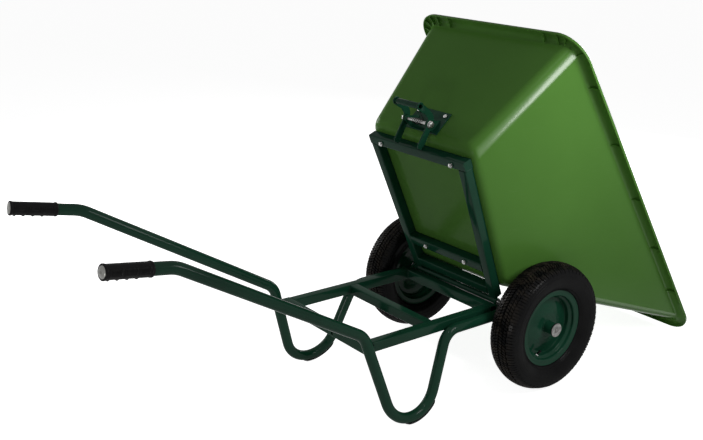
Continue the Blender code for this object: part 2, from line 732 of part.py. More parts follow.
def tyre_profile():
    """Closed C of the tyre's wall, beads on the rim's seats."""
    bead_x = RIM_FLANGE_X - CLEAR
    bead_r = RIM_SEAT_RADIUS + CLEAR
    outside = [
        (bead_x, bead_r),
        (bead_x, RIM_FLANGE_RADIUS - RIM_LIP_DEPTH + BEAD_TOE_RISE),
        (RIM_FLANGE_X + BEAD_LIP_X, RIM_FLANGE_RADIUS + BEAD_LIP_RISE),
        (RIM_FLANGE_X + RIM_SHEET + RIM_LIP, RIM_FLANGE_RADIUS + BEAD_EDGE_RISE),
        *[(TYRE_HALF_WIDTH - inset, WHEEL_RADIUS - depth) for inset, depth in TYRE_SIDEWALL],
        (TREAD_FLAT_HALF, WHEEL_RADIUS),
    ]
    inside = [
        (TREAD_FLAT_HALF, WHEEL_RADIUS - TYRE_WALL),
        *[(TYRE_HALF_WIDTH - TYRE_WALL - inset, WHEEL_RADIUS - depth) for inset, depth in TYRE_CAVITY],
        (bead_x - TYRE_WALL, RIM_FLANGE_RADIUS + BEAD_TOP_RISE),
        (bead_x - TYRE_WALL - BEAD_FLARE, bead_r),
    ]
    return outside + mirrored(outside) + mirrored(inside) + inside


def tube_section(inset):
    """The inner tube's section: the space inside the tyre, less an inset."""
    width = TYRE_HALF_WIDTH - TYRE_WALL - inset
    bead = RIM_FLANGE_X - TYRE_WALL - inset
    top = WHEEL_RADIUS - TYRE_WALL - INNER_TUBE_GAP - inset
    shoulder_in, shoulder_down = INNER_TUBE_SHOULDER
    half = [(bead - INNER_TUBE_FOOT_IN, RIM_SEAT_RADIUS + INNER_TUBE_FOOT + inset),
            (bead - INNER_TUBE_BEAD_IN, RIM_FLANGE_RADIUS - BEAD_FLARE),
            *[(width - side_in, WHEEL_RADIUS - depth) for side_in, depth in INNER_TUBE_SIDE],
            (width - shoulder_in, top - shoulder_down),
            (TREAD_FLAT_HALF - INNER_TUBE_CROWN_IN - inset, top)]
    return half + mirrored(half)


def wheel(word, side):
    spin = empty(f"wheel_{word}_axis", (side * WHEEL_OFFSET, 0, axle_z), parent=barrow)
    turned(f"tyre_{word}", tyre_profile(), TYRE_RUBBER, WHEEL_SIDES, spin, side=side)
    rim = turned(f"rim_{word}", rim_profile(), FRAME_PAINT, WHEEL_SIDES, spin, side=side)
    round_bar(f"hub_{word}", (side * HUB_INNER_END, 0, 0), (side * HUB_OUTER_END, 0, 0), HUB_RADIUS,
              FRAME_PAINT, bore=HUB_BORE, parent=spin)

    def bush(name, end, outward):
        bore, body = AXLE_RADIUS + CLEAR, HUB_BORE - CLEAR
        flange_in = end + outward * CLEAR
        flange_out = flange_in + outward * BUSH_FLANGE
        inside = end - outward * BUSH_LENGTH
        profile = [(inside, bore), (inside, body), (flange_in, body), (flange_in, BUSH_FLANGE_RADIUS),
                   (flange_out, BUSH_FLANGE_RADIUS), (flange_out, bore)]
        turned(name, profile, BUSH_PLASTIC, ROUND_SIDES, spin, side=side)

    bush(f"bush_outer_{word}", HUB_OUTER_END, 1)
    bush(f"bush_inner_{word}", HUB_INNER_END, -1)

    radial = Vector((0, math.cos(VALVE_ANGLE), math.sin(VALVE_ANGLE)))
    foot = Vector((side * VALVE_FOOT_X, 0, 0)) + radial * (RIM_SEAT_RADIUS + VALVE_FOOT_RISE)
    tip = Vector((side * VALVE_LEAN, 0, 0)) + radial * VALVE_TIP_RADIUS
    inside_air = foot + (foot - tip).normalized() * VALVE_BORE_IN
    beyond_tip = tip + (tip - foot).normalized() * VALVE_BORE_OUT
    drill(rim, foot, beyond_tip, VALVE_RADIUS + 2 * CLEAR, spin)
    inner_tube = turned(f"inner_tube_{word}", tube_section(0.0), GRIP_RUBBER, WHEEL_SIDES // 2, spin,
                        side=side)
    combine(inner_tube, round_bar(f"valve_{word}", foot, tip, VALVE_RADIUS, None, sides=SMALL_SIDES,
                                  parent=spin), "UNION")
    air = turned(f"air_{word}", tube_section(INNER_TUBE_WALL), None, WHEEL_SIDES // 2, spin, side=side)
    combine(inner_tube, air, "DIFFERENCE")
    drill(inner_tube, inside_air, beyond_tip, VALVE_BORE, spin, sides=6)


for word, side in (("left", -1), ("right", 1)):
    wheel(word, side)


# %% Tray's tipping frame

tray_axis = empty("tray_axis", (0, HINGE_Y, HINGE_Z), -TIP_ANGLE, barrow)
MEMBER_W = FRAME_BOTTOM_W + BAR / 2

rear_u = FRAME_REAR_U - BAR / 2
tray_rear_tube = square_bar("tray_rear_tube", (-FRAME_HALF_REAR, -rear_u, MEMBER_W),
                            (FRAME_HALF_REAR, -rear_u, MEMBER_W), FRAME_PAINT, tray_axis, (0, 1, 0))


def side_member(name, side):
    """Square tube that splays to the rear, with both end faces square to the barrow."""
    outer = rounded_square(BAR, BAR_CORNER)
    inner = rounded_square(BAR - 2 * BAR_WALL, BAR_CORNER - BAR_WALL)
    work = bmesh.new()

    def loops(outline):
        made = []
        for u in (MEMBER_FRONT_U, MEMBER_REAR_U):
            middle = side * (member_half(u) - BAR / 2)
            made.append([work.verts.new((middle + a, -u, MEMBER_W + b)) for a, b in outline])
        return made

    bridge(work, loops(outer) + loops(inner)[::-1], True)
    return finish_mesh(name, work, FRAME_PAINT, tray_axis)


side_member("tray_side_member_left", -1)
side_member("tray_side_member_right", 1)



def tray_crossbar(name, front_u):
    """Square tube between the side members."""
    middle_u = front_u + BAR / 2
    half_length = member_half(front_u) - BAR - CLEAR
    return square_bar(name, (-half_length, -middle_u, MEMBER_W), (half_length, -middle_u, MEMBER_W),
                      FRAME_PAINT, tray_axis, (0, 1, 0))


tray_crossbar("tray_front_member", FRONT_MEMBER_U)
tray_cross_member = tray_crossbar("tray_cross_member", CROSS_MEMBER_U)

round_bar("hinge_barrel", (-BARREL_HALF, 0, 0), (BARREL_HALF, 0, 0), BARREL_RADIUS, FRAME_PAINT,
          bore=rod_hole, sides=ROUND_SIDES, parent=tray_axis)


# %% Tray

CORNER_STEPS = 4


def outline(front, rear, inset, corner):
    """A rounded outline seen from above. front and rear are (u, half width, w)."""
    corners = [Vector((front[1] - inset, front[0] + inset)), Vector((rear[1] - inset, rear[0] - inset)),
               Vector((inset - rear[1], rear[0] - inset)), Vector((inset - front[1], front[0] + inset))]
    points = []
    for index, point in enumerate(corners):
        back = (corners[index - 1] - point).normalized()
        ahead = (corners[(index + 1) % 4] - point).normalized()
        half = back.angle(ahead) / 2
        reach = corner / math.tan(half)
        start, end = point + back * reach, point + ahead * reach
        centre = point + (back + ahead).normalized() * (corner / math.sin(half))
        for i in range(CORNER_STEPS + 1):
            share = i / CORNER_STEPS
            spoke = (start - centre).lerp(end - centre, share).normalized() * corner
            points.append(centre + spoke)
        following = corners[(index + 1) % 4]
        points.append((end + following - (following - point).normalized() * corner) / 2)
    rise = (rear[2] - front[2]) / (rear[0] - front[0])
    return [Vector((p.x, -p.y, front[2] + (p.y - front[0]) * rise)) for p in points]


def blend(first, second, share):
    return [a.lerp(b, share) for a, b in zip(first, second)]


def along(first, second, distance):
    """Points a set distance from the first outline towards the second."""
    return [a + (b - a).normalized() * distance for a, b in zip(first, second)]


def bend(first, corner, last, share):
    """A point of each parabola from first to last with the given corner."""
    return [a.lerp(b, share).lerp(b.lerp(c, share), share) for a, b, c in zip(first, corner, last)]


floor_front = (FLOOR_FRONT_U, FLOOR_HALF_FRONT, FLOOR_W)
floor_rear = (FLOOR_REAR_U, FLOOR_HALF_REAR, FLOOR_W)
rim_front = (RIM_FRONT_U, RIM_HALF_FRONT, rim_underside(RIM_FRONT_U))
rim_rear = (RIM_REAR_U, RIM_HALF_REAR, rim_underside(RIM_REAR_U))

floor_edge = outline(floor_front, floor_rear, 0.0, FLOOR_CORNER)
floor_inner = outline(floor_front, floor_rear, FLOOR_FILLET, FLOOR_CORNER - FLOOR_FILLET * 0.7)
wall_top = outline(rim_front, rim_rear, RIM_OVERHANG, WALL_CORNER)
rim_edge = outline(rim_front, rim_rear, TRAY_WALL, RIM_CORNER)
wall_foot = along(floor_edge, wall_top, FLOOR_FILLET)
wall_head = along(wall_top, floor_edge, RIM_FILLET)
flange_root = along(wall_top, rim_edge, RIM_FILLET)
skirt = [p - Vector((0, 0, RIM_SKIRT)) for p in rim_edge]
rings = [
    floor_inner,
    bend(floor_inner, floor_edge, wall_foot, 1 / 3),
    bend(floor_inner, floor_edge, wall_foot, 2 / 3),
    wall_foot,
    blend(wall_foot, wall_head, 0.5),
    wall_head,
    bend(wall_head, wall_top, flange_root, 0.5),
    flange_root,
    rim_edge,
    skirt,
]


def tray_sheet(name):
    """The tray's outside as one open sheet, given its thickness by a Solidify modifier."""
    work = bmesh.new()
    loops = [[work.verts.new(point) for point in ring] for ring in rings]
    floor = work.faces.new(loops[0])
    bridge(work, loops, False)
    bmesh.ops.recalc_face_normals(work, faces=work.faces)
    floor.normal_update()
    if floor.normal.z > 0:
        bmesh.ops.reverse_faces(work, faces=work.faces)
    mesh = bpy.data.meshes.new(name)
    work.to_mesh(mesh)
    work.free()
    made = bpy.data.objects.new(name, mesh)
    bpy.context.scene.collection.objects.link(made)
    made.parent = tray_axis
    mesh.materials.append(TRAY_PLASTIC)
    mesh.shade_smooth()
    mesh.set_sharp_from_angle(angle=math.radians(40))
    thicken = made.modifiers.new("wall", "SOLIDIFY")
    thicken.thickness = TRAY_WALL
    thicken.offset = -1
    thicken.use_even_offset = True
    return made


tray = tray_sheet("tray")


# %% Tray bolts, each with its nut

def bolt(name, head, direction, grip_length, radius, head_radius, head_height, nut_radius, nut_height,
         head_sides=6):
    """A bolt with its nut as one piece. head is the seat under its head, direction points to the nut."""
    head, direction = Vector(head), Vector(direction).normalized()
    nut_start = head + direction * grip_length
    end = nut_start + direction * (nut_height + BOLT_BEYOND_NUT)
    made = round_bar(name, head - direction * head_height / 2, end, radius, ZINC, sides=SMALL_SIDES,
                     parent=tray_axis)
    for start, stop, size, sides in ((head - direction * head_height, head, head_radius, head_sides),
                                     (nut_start, nut_start + direction * nut_height, nut_radius, 6)):
        piece = sweep(name + "_end", [start, stop], circle(size, sides), None, parent=tray_axis)
        combine(made, piece, "UNION")
    return made


floor_top_w = FLOOR_W + TRAY_WALL
bolt_grip = floor_top_w - FRAME_BOTTOM_W + 2 * CLEAR
bolt_rows = (("rear", BOLT_REAR_X, FRAME_REAR_U - BOLT_REAR_IN, tray_rear_tube),
             ("front", BOLT_FRONT_X, CROSS_MEMBER_U + BAR / 2, tray_cross_member))
for row, bolt_x, bolt_u, bar in bolt_rows:
    for word, side in (("left", -1), ("right", 1)):
        seat = (side * bolt_x, -bolt_u, floor_top_w + CLEAR)
        bolt(f"tray_bolt_{row}_{word}", seat, (0, 0, -1), bolt_grip, BOLT_RADIUS, BOLT_HEAD_RADIUS,
             BOLT_HEAD_HEIGHT, BOLT_NUT_RADIUS, BOLT_NUT_HEIGHT, SMALL_SIDES)
        for piece in (tray, bar):
            drill(piece, (side * bolt_x, -bolt_u, floor_top_w + BAR),
                  (side * bolt_x, -bolt_u, FRAME_BOTTOM_W - BAR), BOLT_RADIUS + CLEAR, tray_axis)


# %% Latch bracket on the tray's rear wall

wall_slope = math.atan2(rear_wall_u(LATCH_PLATE_TOP) - rear_wall_u(LATCH_PLATE_BOTTOM),
                        LATCH_PLATE_TOP - LATCH_PLATE_BOTTOM)
wall_step = 1 / math.cos(wall_slope)       # a distance square to the wall, measured level


def plate_face(w, depth):
    """A point depth out from the tray's rear wall, at height w."""
    return (-(rear_wall_u(w) + depth * wall_step), w)


def latch_bracket():
    near, far = CLEAR, CLEAR + LATCH_PLATE_THICKNESS
    base = [plate_face(LATCH_PLATE_BOTTOM, near), plate_face(LATCH_PLATE_TOP, near),
            plate_face(LATCH_PLATE_TOP, far), plate_face(LATCH_PLATE_BOTTOM, far)]
    made = prism("latch_bracket", base, "x", -LATCH_PLATE_HALF, LATCH_PLATE_HALF, FRAME_PAINT, tray_axis)
    middle = near + LATCH_PLATE_THICKNESS / 2
    eye = arc((-LATCH_PIVOT_U, LATCH_PIVOT_W), LATCH_WASHER_RADIUS, math.radians(110),
              math.radians(280), 6)
    for side in (-1, 1):
        ear_outline = [plate_face(LATCH_PLATE_BOTTOM + LATCH_EAR_FROM_BOTTOM, middle),
                       plate_face(LATCH_PLATE_TOP - LATCH_EAR_FROM_TOP, middle), *eye]
        ear = prism(f"latch_ear_{side}", ear_outline, "x", side * LATCH_EAR_X,
                    side * (LATCH_EAR_X + LATCH_EAR_THICKNESS), None, tray_axis)
        combine(made, ear, "UNION")
    drill(made, (-LATCH_PLATE_HALF, -LATCH_PIVOT_U, LATCH_PIVOT_W),
          (LATCH_PLATE_HALF, -LATCH_PIVOT_U, LATCH_PIVOT_W), LATCH_BOLT_RADIUS + CLEAR, tray_axis)
    return made


bracket = latch_bracket()
out_of_wall = Vector((0, -math.cos(wall_slope), -math.sin(wall_slope)))
for row, bolt_x, bolt_w in PLATE_BOLTS:
    for word, side in (("left", -1), ("right", 1)):
        y, z = plate_face(bolt_w, CLEAR + LATCH_PLATE_THICKNESS + CLEAR)
        seat = Vector((side * bolt_x, y, z))
        depth = LATCH_PLATE_THICKNESS + TRAY_WALL + 3 * CLEAR
        bolt(f"latch_bolt_{row}_{word}", seat, -out_of_wall, depth, PLATE_BOLT_RADIUS,
             PLATE_BOLT_HEAD_RADIUS, PLATE_BOLT_HEAD_HEIGHT, PLATE_BOLT_HEAD_RADIUS, PLATE_BOLT_HEAD_HEIGHT)
        for piece in (tray, bracket):
            drill(piece, seat + out_of_wall * PLATE_DRILL_OUT, seat - out_of_wall * PLATE_DRILL_IN,
                  PLATE_BOLT_RADIUS + CLEAR, tray_axis)


# %% Latch pivot, spring and lever

cheek_outer_x = LATCH_CHEEK_X + LATCH_CHEEK_THICKNESS


def latch_end(name, side, height):
    """Head or nut of the pivot bolt, with its washer, outside a cheek."""
    start = cheek_outer_x + CLEAR
    washer_end = start + LATCH_WASHER_THICKNESS
    made = round_bar(name, (side * start, -LATCH_PIVOT_U, LATCH_PIVOT_W),
                     (side * washer_end, -LATCH_PIVOT_U, LATCH_PIVOT_W), LATCH_WASHER_RADIUS, ZINC,
                     parent=tray_axis)
    head = round_bar(name + "_hex", (side * (start + washer_end) / 2, -LATCH_PIVOT_U, LATCH_PIVOT_W),
                     (side * (washer_end + height), -LATCH_PIVOT_U, LATCH_PIVOT_W),
                     LATCH_BOLT_HEAD_RADIUS, None, sides=6, parent=tray_axis)
    combine(made, head, "UNION")
    return made


pivot_bolt = latch_end("latch_pivot_bolt", 1, LATCH_BOLT_HEAD_HEIGHT)
shank_end = cheek_outer_x + LATCH_NUT_HEIGHT + LATCH_BOLT_BEYOND_NUT
shank = round_bar("latch_shank", (-shank_end, -LATCH_PIVOT_U, LATCH_PIVOT_W),
                  (cheek_outer_x + LATCH_BOLT_HEAD_HEIGHT / 2, -LATCH_PIVOT_U, LATCH_PIVOT_W),
                  LATCH_BOLT_RADIUS, None, sides=SMALL_SIDES, parent=tray_axis)
combine(pivot_bolt, shank, "UNION")
pivot_nut = latch_end("latch_pivot_nut", -1, LATCH_NUT_HEIGHT)
drill(pivot_nut, (-2 * shank_end, -LATCH_PIVOT_U, LATCH_PIVOT_W), (0, -LATCH_PIVOT_U, LATCH_PIVOT_W),
      LATCH_BOLT_RADIUS + CLEAR, tray_axis)


def latch_spring():
    """A torsion spring round the pivot bolt: one leg on the bracket, one on the lever's bar."""
    centre = Vector((0, -LATCH_PIVOT_U, LATCH_PIVOT_W))
    path = []
    off_wall = 2 * CLEAR + LATCH_PLATE_THICKNESS + SPRING_WIRE_RADIUS
    rest_y, rest_z = plate_face(LATCH_PIVOT_W + SPRING_REST_W, off_wall)
    path.append(Vector((-SPRING_HALF_LENGTH, rest_y, rest_z)))
    count = SPRING_TURNS * SPRING_TURN_STEPS
    for i in range(count + 1):
        angle = math.pi / 2 - 2 * math.pi * i / SPRING_TURN_STEPS
        x = -SPRING_HALF_LENGTH + 2 * SPRING_HALF_LENGTH * i / count
        path.append(centre + Vector((x, SPRING_COIL_RADIUS * math.cos(angle),
                                     SPRING_COIL_RADIUS * math.sin(angle))))
    reach = LATCH_BAR_RADIUS + CLEAR + SPRING_WIRE_RADIUS
    path.append(Vector((SPRING_HALF_LENGTH, -LATCH_BAR_U, LATCH_BAR_W + reach)))
    return sweep("latch_spring", path, circle(SPRING_WIRE_RADIUS, SPRING_SIDES), ZINC,
                 side_hint=(1, 0, 0.2), parent=tray_axis)


latch_spring()

latch_axis = empty("latch_axis", (0, -LATCH_PIVOT_U, LATCH_PIVOT_W), parent=tray_axis)


def cheek_outline():
    """The hooked lever plate in (y, z) from the pivot: bar eye, shoulder, hook and nose."""
    slot_top = RAIL_TOP - HOOK_SLOT_TOP - HINGE_Z
    hook_face = HINGE_Y - CROSSBAR_REAR_Y + HOOK_FACE_CLEAR
    nose = hook_face - HOOK_NOSE
    bar_eye = arc((LATCH_BAR_U, LATCH_BAR_W), LATCH_BAR_RADIUS + CHEEK_EYE_WALL, math.radians(-100),
                  math.radians(95), 6)
    points = [
        *bar_eye,
        *CHEEK_BACK,
        (hook_face, CHEEK_HOOK_TOP_W),
        (hook_face, slot_top - HOOK_THROAT),
        (nose, slot_top - HOOK_NOSE_TOP),
        (nose, slot_top - HOOK_NOSE_BOTTOM),
        *[(hook_face + behind, slot_top - below) for behind, below in HOOK_BELOW],
        *CHEEK_INSIDE,
    ]
    return [(LATCH_PIVOT_U - u, w - LATCH_PIVOT_W) for u, w in points]


bar_y, bar_z = LATCH_PIVOT_U - LATCH_BAR_U, LATCH_BAR_W - LATCH_PIVOT_W
for word, side in (("left", -1), ("right", 1)):
    cheek = prism(f"latch_cheek_{word}", cheek_outline(), "x", side * LATCH_CHEEK_X, side * cheek_outer_x,
                  FRAME_PAINT, latch_axis)
    drill(cheek, (0, 0, 0), (side * 2 * LATCH_CHEEK_X, 0, 0), LATCH_BOLT_RADIUS + CLEAR, latch_axis)
    drill(cheek, (0, bar_y, bar_z), (side * 2 * LATCH_CHEEK_X, bar_y, bar_z), LATCH_BAR_RADIUS + CLEAR,
          latch_axis, sides=ROUND_SIDES)

round_bar("latch_handle_bar", (-LATCH_BAR_HALF, bar_y, bar_z), (LATCH_BAR_HALF, bar_y, bar_z),
          LATCH_BAR_RADIUS, FRAME_PAINT, bore=LATCH_BAR_RADIUS - LATCH_BAR_WALL, parent=latch_axis)
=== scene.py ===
# %% [markdown]
# # A two-wheeled tipping wheelbarrow
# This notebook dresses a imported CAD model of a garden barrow: a moulded plastic tray that tips
# forward over two wheels, on a frame of bent round tube and welded square tube. Every size is in
# metres. X points to the barrow's right, Y forward, Z up, and the tray is shown tipped.
# The CAD model gives each body its place. The pieces made here are finer versions of its nodes.

# %% Load the frame
import json
import math

import bmesh
import bpy
from mathutils import Matrix, Vector

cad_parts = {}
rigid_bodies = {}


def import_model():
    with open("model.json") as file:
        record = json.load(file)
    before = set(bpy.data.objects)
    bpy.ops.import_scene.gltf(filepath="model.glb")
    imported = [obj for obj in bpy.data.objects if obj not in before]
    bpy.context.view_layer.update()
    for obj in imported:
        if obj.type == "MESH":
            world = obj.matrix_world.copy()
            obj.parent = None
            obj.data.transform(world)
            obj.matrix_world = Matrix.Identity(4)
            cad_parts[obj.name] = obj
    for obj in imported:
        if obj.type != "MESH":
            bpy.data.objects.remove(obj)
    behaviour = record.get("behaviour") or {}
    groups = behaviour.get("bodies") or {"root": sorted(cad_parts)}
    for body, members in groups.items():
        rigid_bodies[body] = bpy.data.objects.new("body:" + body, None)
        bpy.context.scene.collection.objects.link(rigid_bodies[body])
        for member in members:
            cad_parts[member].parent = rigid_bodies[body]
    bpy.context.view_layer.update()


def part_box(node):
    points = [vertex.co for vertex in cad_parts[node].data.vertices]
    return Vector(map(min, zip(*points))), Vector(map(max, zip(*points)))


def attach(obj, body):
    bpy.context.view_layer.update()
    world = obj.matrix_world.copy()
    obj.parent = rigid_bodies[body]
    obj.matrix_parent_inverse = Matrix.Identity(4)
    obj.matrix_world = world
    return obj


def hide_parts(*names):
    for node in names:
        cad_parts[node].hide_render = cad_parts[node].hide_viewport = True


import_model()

# %% [markdown]
# ## Where things are counted from
# The wheels' axle and the tray's tipping rod are read from the frame. Pieces of the chassis are
# modelled with the axle at y = 0. Pieces of the tray are modelled level, with the rod as origin:
# u runs rearward and w up, so a point is (x, -u, w). One matrix for each then sets them in place.

# %% Two frames of reference
axle_low, axle_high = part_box("axle")
AXLE = (axle_low + axle_high) / 2
rod_low, rod_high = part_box("hinge_rod")
HINGE = (rod_low + rod_high) / 2
TIP_ANGLE = math.radians(67.3)
BARROW = Matrix.Translation((0, AXLE.y, 0))
TRAY = Matrix.Translation(HINGE) @ Matrix.Rotation(-TIP_ANGLE, 4, "X")
HINGE_Y = HINGE.y - AXLE.y
HINGE_Z = HINGE.z
SIDES = (("left", -1), ("right", 1))
CLEAR = 0.0003
UNMOVED = Matrix.Identity(4)
print("axle", AXLE[:], "hinge", HINGE[:])

# %% [markdown]
# ## Small tools for meshes
# A bmesh is Blender's workbench for vertices and faces.

# %% Mesh and object helpers
SHARP = math.radians(38)


def shade(mesh, angle=SHARP):
    mesh.shade_smooth()
    mesh.set_sharp_from_angle(angle=angle)


def linked(name, data):
    """An object of the scene that holds the given data."""
    made = bpy.data.objects.new(name, data)
    bpy.context.scene.collection.objects.link(made)
    return made


def piece(name, work, paint, place=BARROW, angle=SHARP):
    """Sets a bmesh in place and makes it an object at the origin."""
    bmesh.ops.transform(work, matrix=place, verts=work.verts)
    bmesh.ops.recalc_face_normals(work, faces=work.faces)
    mesh = bpy.data.meshes.new(name)
    work.to_mesh(mesh)
    work.free()
    if paint is not None:
        mesh.materials.append(paint)
    shade(mesh, angle)
    return linked(name, mesh)


def carry(made, body, slot, *nodes):
    """Makes a finished piece ride on a body, and stand for CAD nodes."""
    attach(made, body)
    if nodes:
        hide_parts(*nodes)
    return made


def bridge(work, loops, close_path):
    """Faces between loops of as many vertices each."""
    pairs = list(zip(loops, loops[1:]))
    if close_path:
        pairs.append((loops[-1], loops[0]))
    for first, second in pairs:
        count = len(first)
        for i in range(count):
            j = (i + 1) % count
            work.faces.new((first[i], first[j], second[j], second[i]))


def capped(work, loops):
    """Faces between loops, and one across each end."""
    bridge(work, loops, False)
    work.faces.new(loops[0])
    work.faces.new(loops[-1])


def polar(radius, angle):
    """The two coordinates of a point on a circle."""
    return radius * math.cos(angle), radius * math.sin(angle)


def circle(radius, sides):
    return [polar(radius, 2 * math.pi * i / sides) for i in range(sides)]


def parabola(start, corner, end, share):
    return start.lerp(corner, share).lerp(corner.lerp(end, share), share)


def rounding(before, corner, after, radius):
    """Unit vectors back and ahead, half the angle between them, and the centre of the arc."""
    back = (before - corner).normalized()
    ahead = (after - corner).normalized()
    half = back.angle(ahead) / 2
    return back, ahead, half, corner + (back + ahead).normalized() * (radius / math.sin(half))


def softened(points, reach, steps=4, closed=True):
    """Rounds the corners of a flat outline by a parabola that starts reach away from each."""
    rounded = []
    count = len(points)
    for index, point in enumerate(points):
        here = Vector(point)
        if not closed and index in (0, count - 1):
            rounded.append(here)
            continue
        back = Vector(points[index - 1]) - here
        ahead = Vector(points[(index + 1) % count]) - here
        take = min(reach, back.length * 0.45, ahead.length * 0.45)
        start = here + back.normalized() * take
        end = here + ahead.normalized() * take
        rounded += [parabola(start, here, end, i / steps) for i in range(steps + 1)]
    return rounded


def sweep(work, path, section, hollow=None, side_hint=(1, 0, 0)):
    """A section along a path, carried without twist; with a hollow it is an open tube."""
    path = [Vector(point) for point in path]
    side = Vector(side_hint)
    frames = []
    for index, centre in enumerate(path):
        before = path[max(index - 1, 0)]
        after = path[min(index + 1, len(path) - 1)]
        forward = (after - before).normalized()
        side = (side - forward * side.dot(forward)).normalized()
        frames.append((centre, side, forward.cross(side)))

    def loops(outline):
        return [[work.verts.new(c + s * a + u * b) for a, b in outline] for c, s, u in frames]

    outer = loops(section)
    if hollow is None:
        capped(work, outer)
    else:
        bridge(work, outer + loops(hollow)[::-1], True)


def mirrored(profile):
    return [(-x, r) for x, r in profile[::-1]]


def revolve(work, profile, sides, side=1, closed=True):
    """Turns (x, radius) points about X. An open profile ends on the axis at both ends."""
    body = profile if closed else profile[1:-1]
    loops = []
    for i in range(sides):
        angle = 2 * math.pi * i / sides
        loops.append([work.verts.new((side * x, *polar(r, angle))) for x, r in body])
    if closed:
        bridge(work, loops, True)
        return
    ends = [work.verts.new((side * profile[index][0], 0, 0)) for index in (0, -1)]
    for first, second in zip(loops, loops[1:] + loops[:1]):
        for i in range(len(body) - 1):
            work.faces.new((first[i], first[i + 1], second[i + 1], second[i]))
        work.faces.new((ends[0], first[0], second[0]))
        work.faces.new((ends[1], second[-1], first[-1]))


def turned(name, profile, sides, paint, place=BARROW, side=1, closed=True):
    """A piece turned about X from one profile."""
    work = bmesh.new()
    revolve(work, profile, sides, side, closed)
    return piece(name, work, paint, place)


def rounded_path(corners, radii, steps):
    """A polyline whose inner corners are rounded to the given radii."""
    corners = [Vector(c) for c in corners]
    points = [corners[0]]
    for index in range(1, len(corners) - 1):
        corner, radius = corners[index], radii[index - 1]
        back, ahead, half, centre = rounding(corners[index - 1], corner, corners[index + 1], radius)
        start = corner + back * (radius / math.tan(half)) - centre
        turn = math.pi - 2 * half
        axis = start.cross(corner - centre).normalized()
        count = steps[index - 1]
        for i in range(count + 1):
            points.append(centre + Matrix.Rotation(turn * i / count, 3, axis) @ start)
    points.append(corners[-1])
    return points


print("mesh helpers ready")

# %% [markdown]
# ## Small tools for nodes
# Materials and Geometry Nodes are both trees of nodes. `step` adds a node, sets its options and
# connects or fills its sockets, so that a tree reads from top to bottom like a recipe. `grow` runs
# a geometry tree on an object, keeps the result as a plain mesh and takes the modifier off again.

# %% Node helpers
def step(tree, kind, inputs=None, **settings):
    made = tree.nodes.new(kind)
    for title, value in settings.items():
        setattr(made, title, value)
    for socket, value in (inputs or {}).items():
        if isinstance(value, bpy.types.NodeSocket):
            tree.links.new(value, made.inputs[socket])
        else:
            made.inputs[socket].default_value = value
    return made


def calculate(tree, operation, *values):
    """A Math node on numbers or sockets."""
    return step(tree, "ShaderNodeMath", dict(enumerate(values)), operation=operation).outputs[0]


def geometry_tree(name, *sockets):
    """An empty geometry tree with named inputs, each (title, socket type)."""
    tree = bpy.data.node_groups.new(name, "GeometryNodeTree")
    tree.interface.new_socket("Geometry", in_out="INPUT", socket_type="NodeSocketGeometry")
    tree.interface.new_socket("Geometry", in_out="OUTPUT", socket_type="NodeSocketGeometry")
    for title, kind in sockets:
        tree.interface.new_socket(title, in_out="INPUT", socket_type=kind)
    return tree, tree.nodes.new("NodeGroupInput").outputs


def close_tree(tree, grown, paint):
    """Ends a tree the way that an export needs: real faces with their material."""
    real = step(tree, "GeometryNodeRealizeInstances", {"Geometry": grown})
    painted = step(tree, "GeometryNodeSetMaterial", {"Geometry": real.outputs[0], "Material": paint})
    step(tree, "NodeGroupOutput", {"Geometry": painted.outputs[0]})


def grow(made, tree, angle=SHARP, **values):
    """Runs a tree with the given named inputs and keeps what it makes as a plain mesh."""
    change = made.modifiers.new(tree.name, "NODES")
    change.node_group = tree
    for item in tree.interface.items_tree:
        if item.in_out == "INPUT" and item.name in values:
            change[item.identifier] = values[item.name]
    evaluated = made.evaluated_get(bpy.context.evaluated_depsgraph_get())
    mesh = bpy.data.meshes.new_from_object(evaluated)
    made.modifiers.remove(change)
    made.data = mesh
    shade(mesh, angle)
    return made


print("node helpers ready")

# %% [markdown]
# ## Powder paint on the steel
# The tubes wear a deep bottle green, baked on as powder. It is glossy, but its surface is faintly
# wavy, like orange peel, which breaks up the long reflections. One noise gives that bump, a broad
# one shifts the shade a little, and sparse specks of pale dust sit where a fine noise peaks.

# %% Frame paint
def surface(name, **sockets):
    """A material whose plain values are set on the shader's own sockets."""
    made = bpy.data.materials.new(name)
    made.use_nodes = True
    tree = made.node_tree
    shader = tree.nodes["Principled BSDF"]
    for title, value in sockets.items():
        shader.inputs[title.replace("_", " ")].default_value = value
    place = step(tree, "ShaderNodeTexCoord").outputs["Object"]
    return made, tree, shader.inputs, place


def noise(tree, place, scale, detail=2.0, rough=0.5):
    return step(tree, "ShaderNodeTexNoise", {"Vector": place, "Scale": scale, "Detail": detail,
                                             "Roughness": rough}).outputs[0]


def between(tree, value, low, high, start=0.0, end=1.0):
    """Maps a value from one range to another, held at both ends."""
    made = step(tree, "ShaderNodeMapRange", {"Value": value, "From Min": start, "From Max": end,
                                             "To Min": low, "To Max": high})
    return made.outputs["Result"]


def shades(tree, value, *stops):
    """A colour ramp; each stop is (place, colour)."""
    ramp = step(tree, "ShaderNodeValToRGB", {"Fac": value})
    elements = ramp.color_ramp.elements
    while len(elements) < len(stops):
        elements.new(0.5)
    for element, (place, colour) in zip(elements, stops):
        element.position = place
        element.color = (*colour, 1.0)
    return ramp.outputs["Color"]


def mixed(tree, share, first, second):
    """Two colours by a share; a colour may be a socket or three numbers."""
    made = step(tree, "ShaderNodeMix", {"Factor": share}, data_type="RGBA")
    for index, colour in ((6, first), (7, second)):
        if isinstance(colour, bpy.types.NodeSocket):
            tree.links.new(colour, made.inputs[index])
        else:
            made.inputs[index].default_value = (*colour, 1.0)
    return made.outputs[2]


def feed(tree, sockets, **sources):
    """Links what drives each of a shader's sockets."""
    for title, source in sources.items():
        tree.links.new(source, sockets[title.replace("_", " ")])


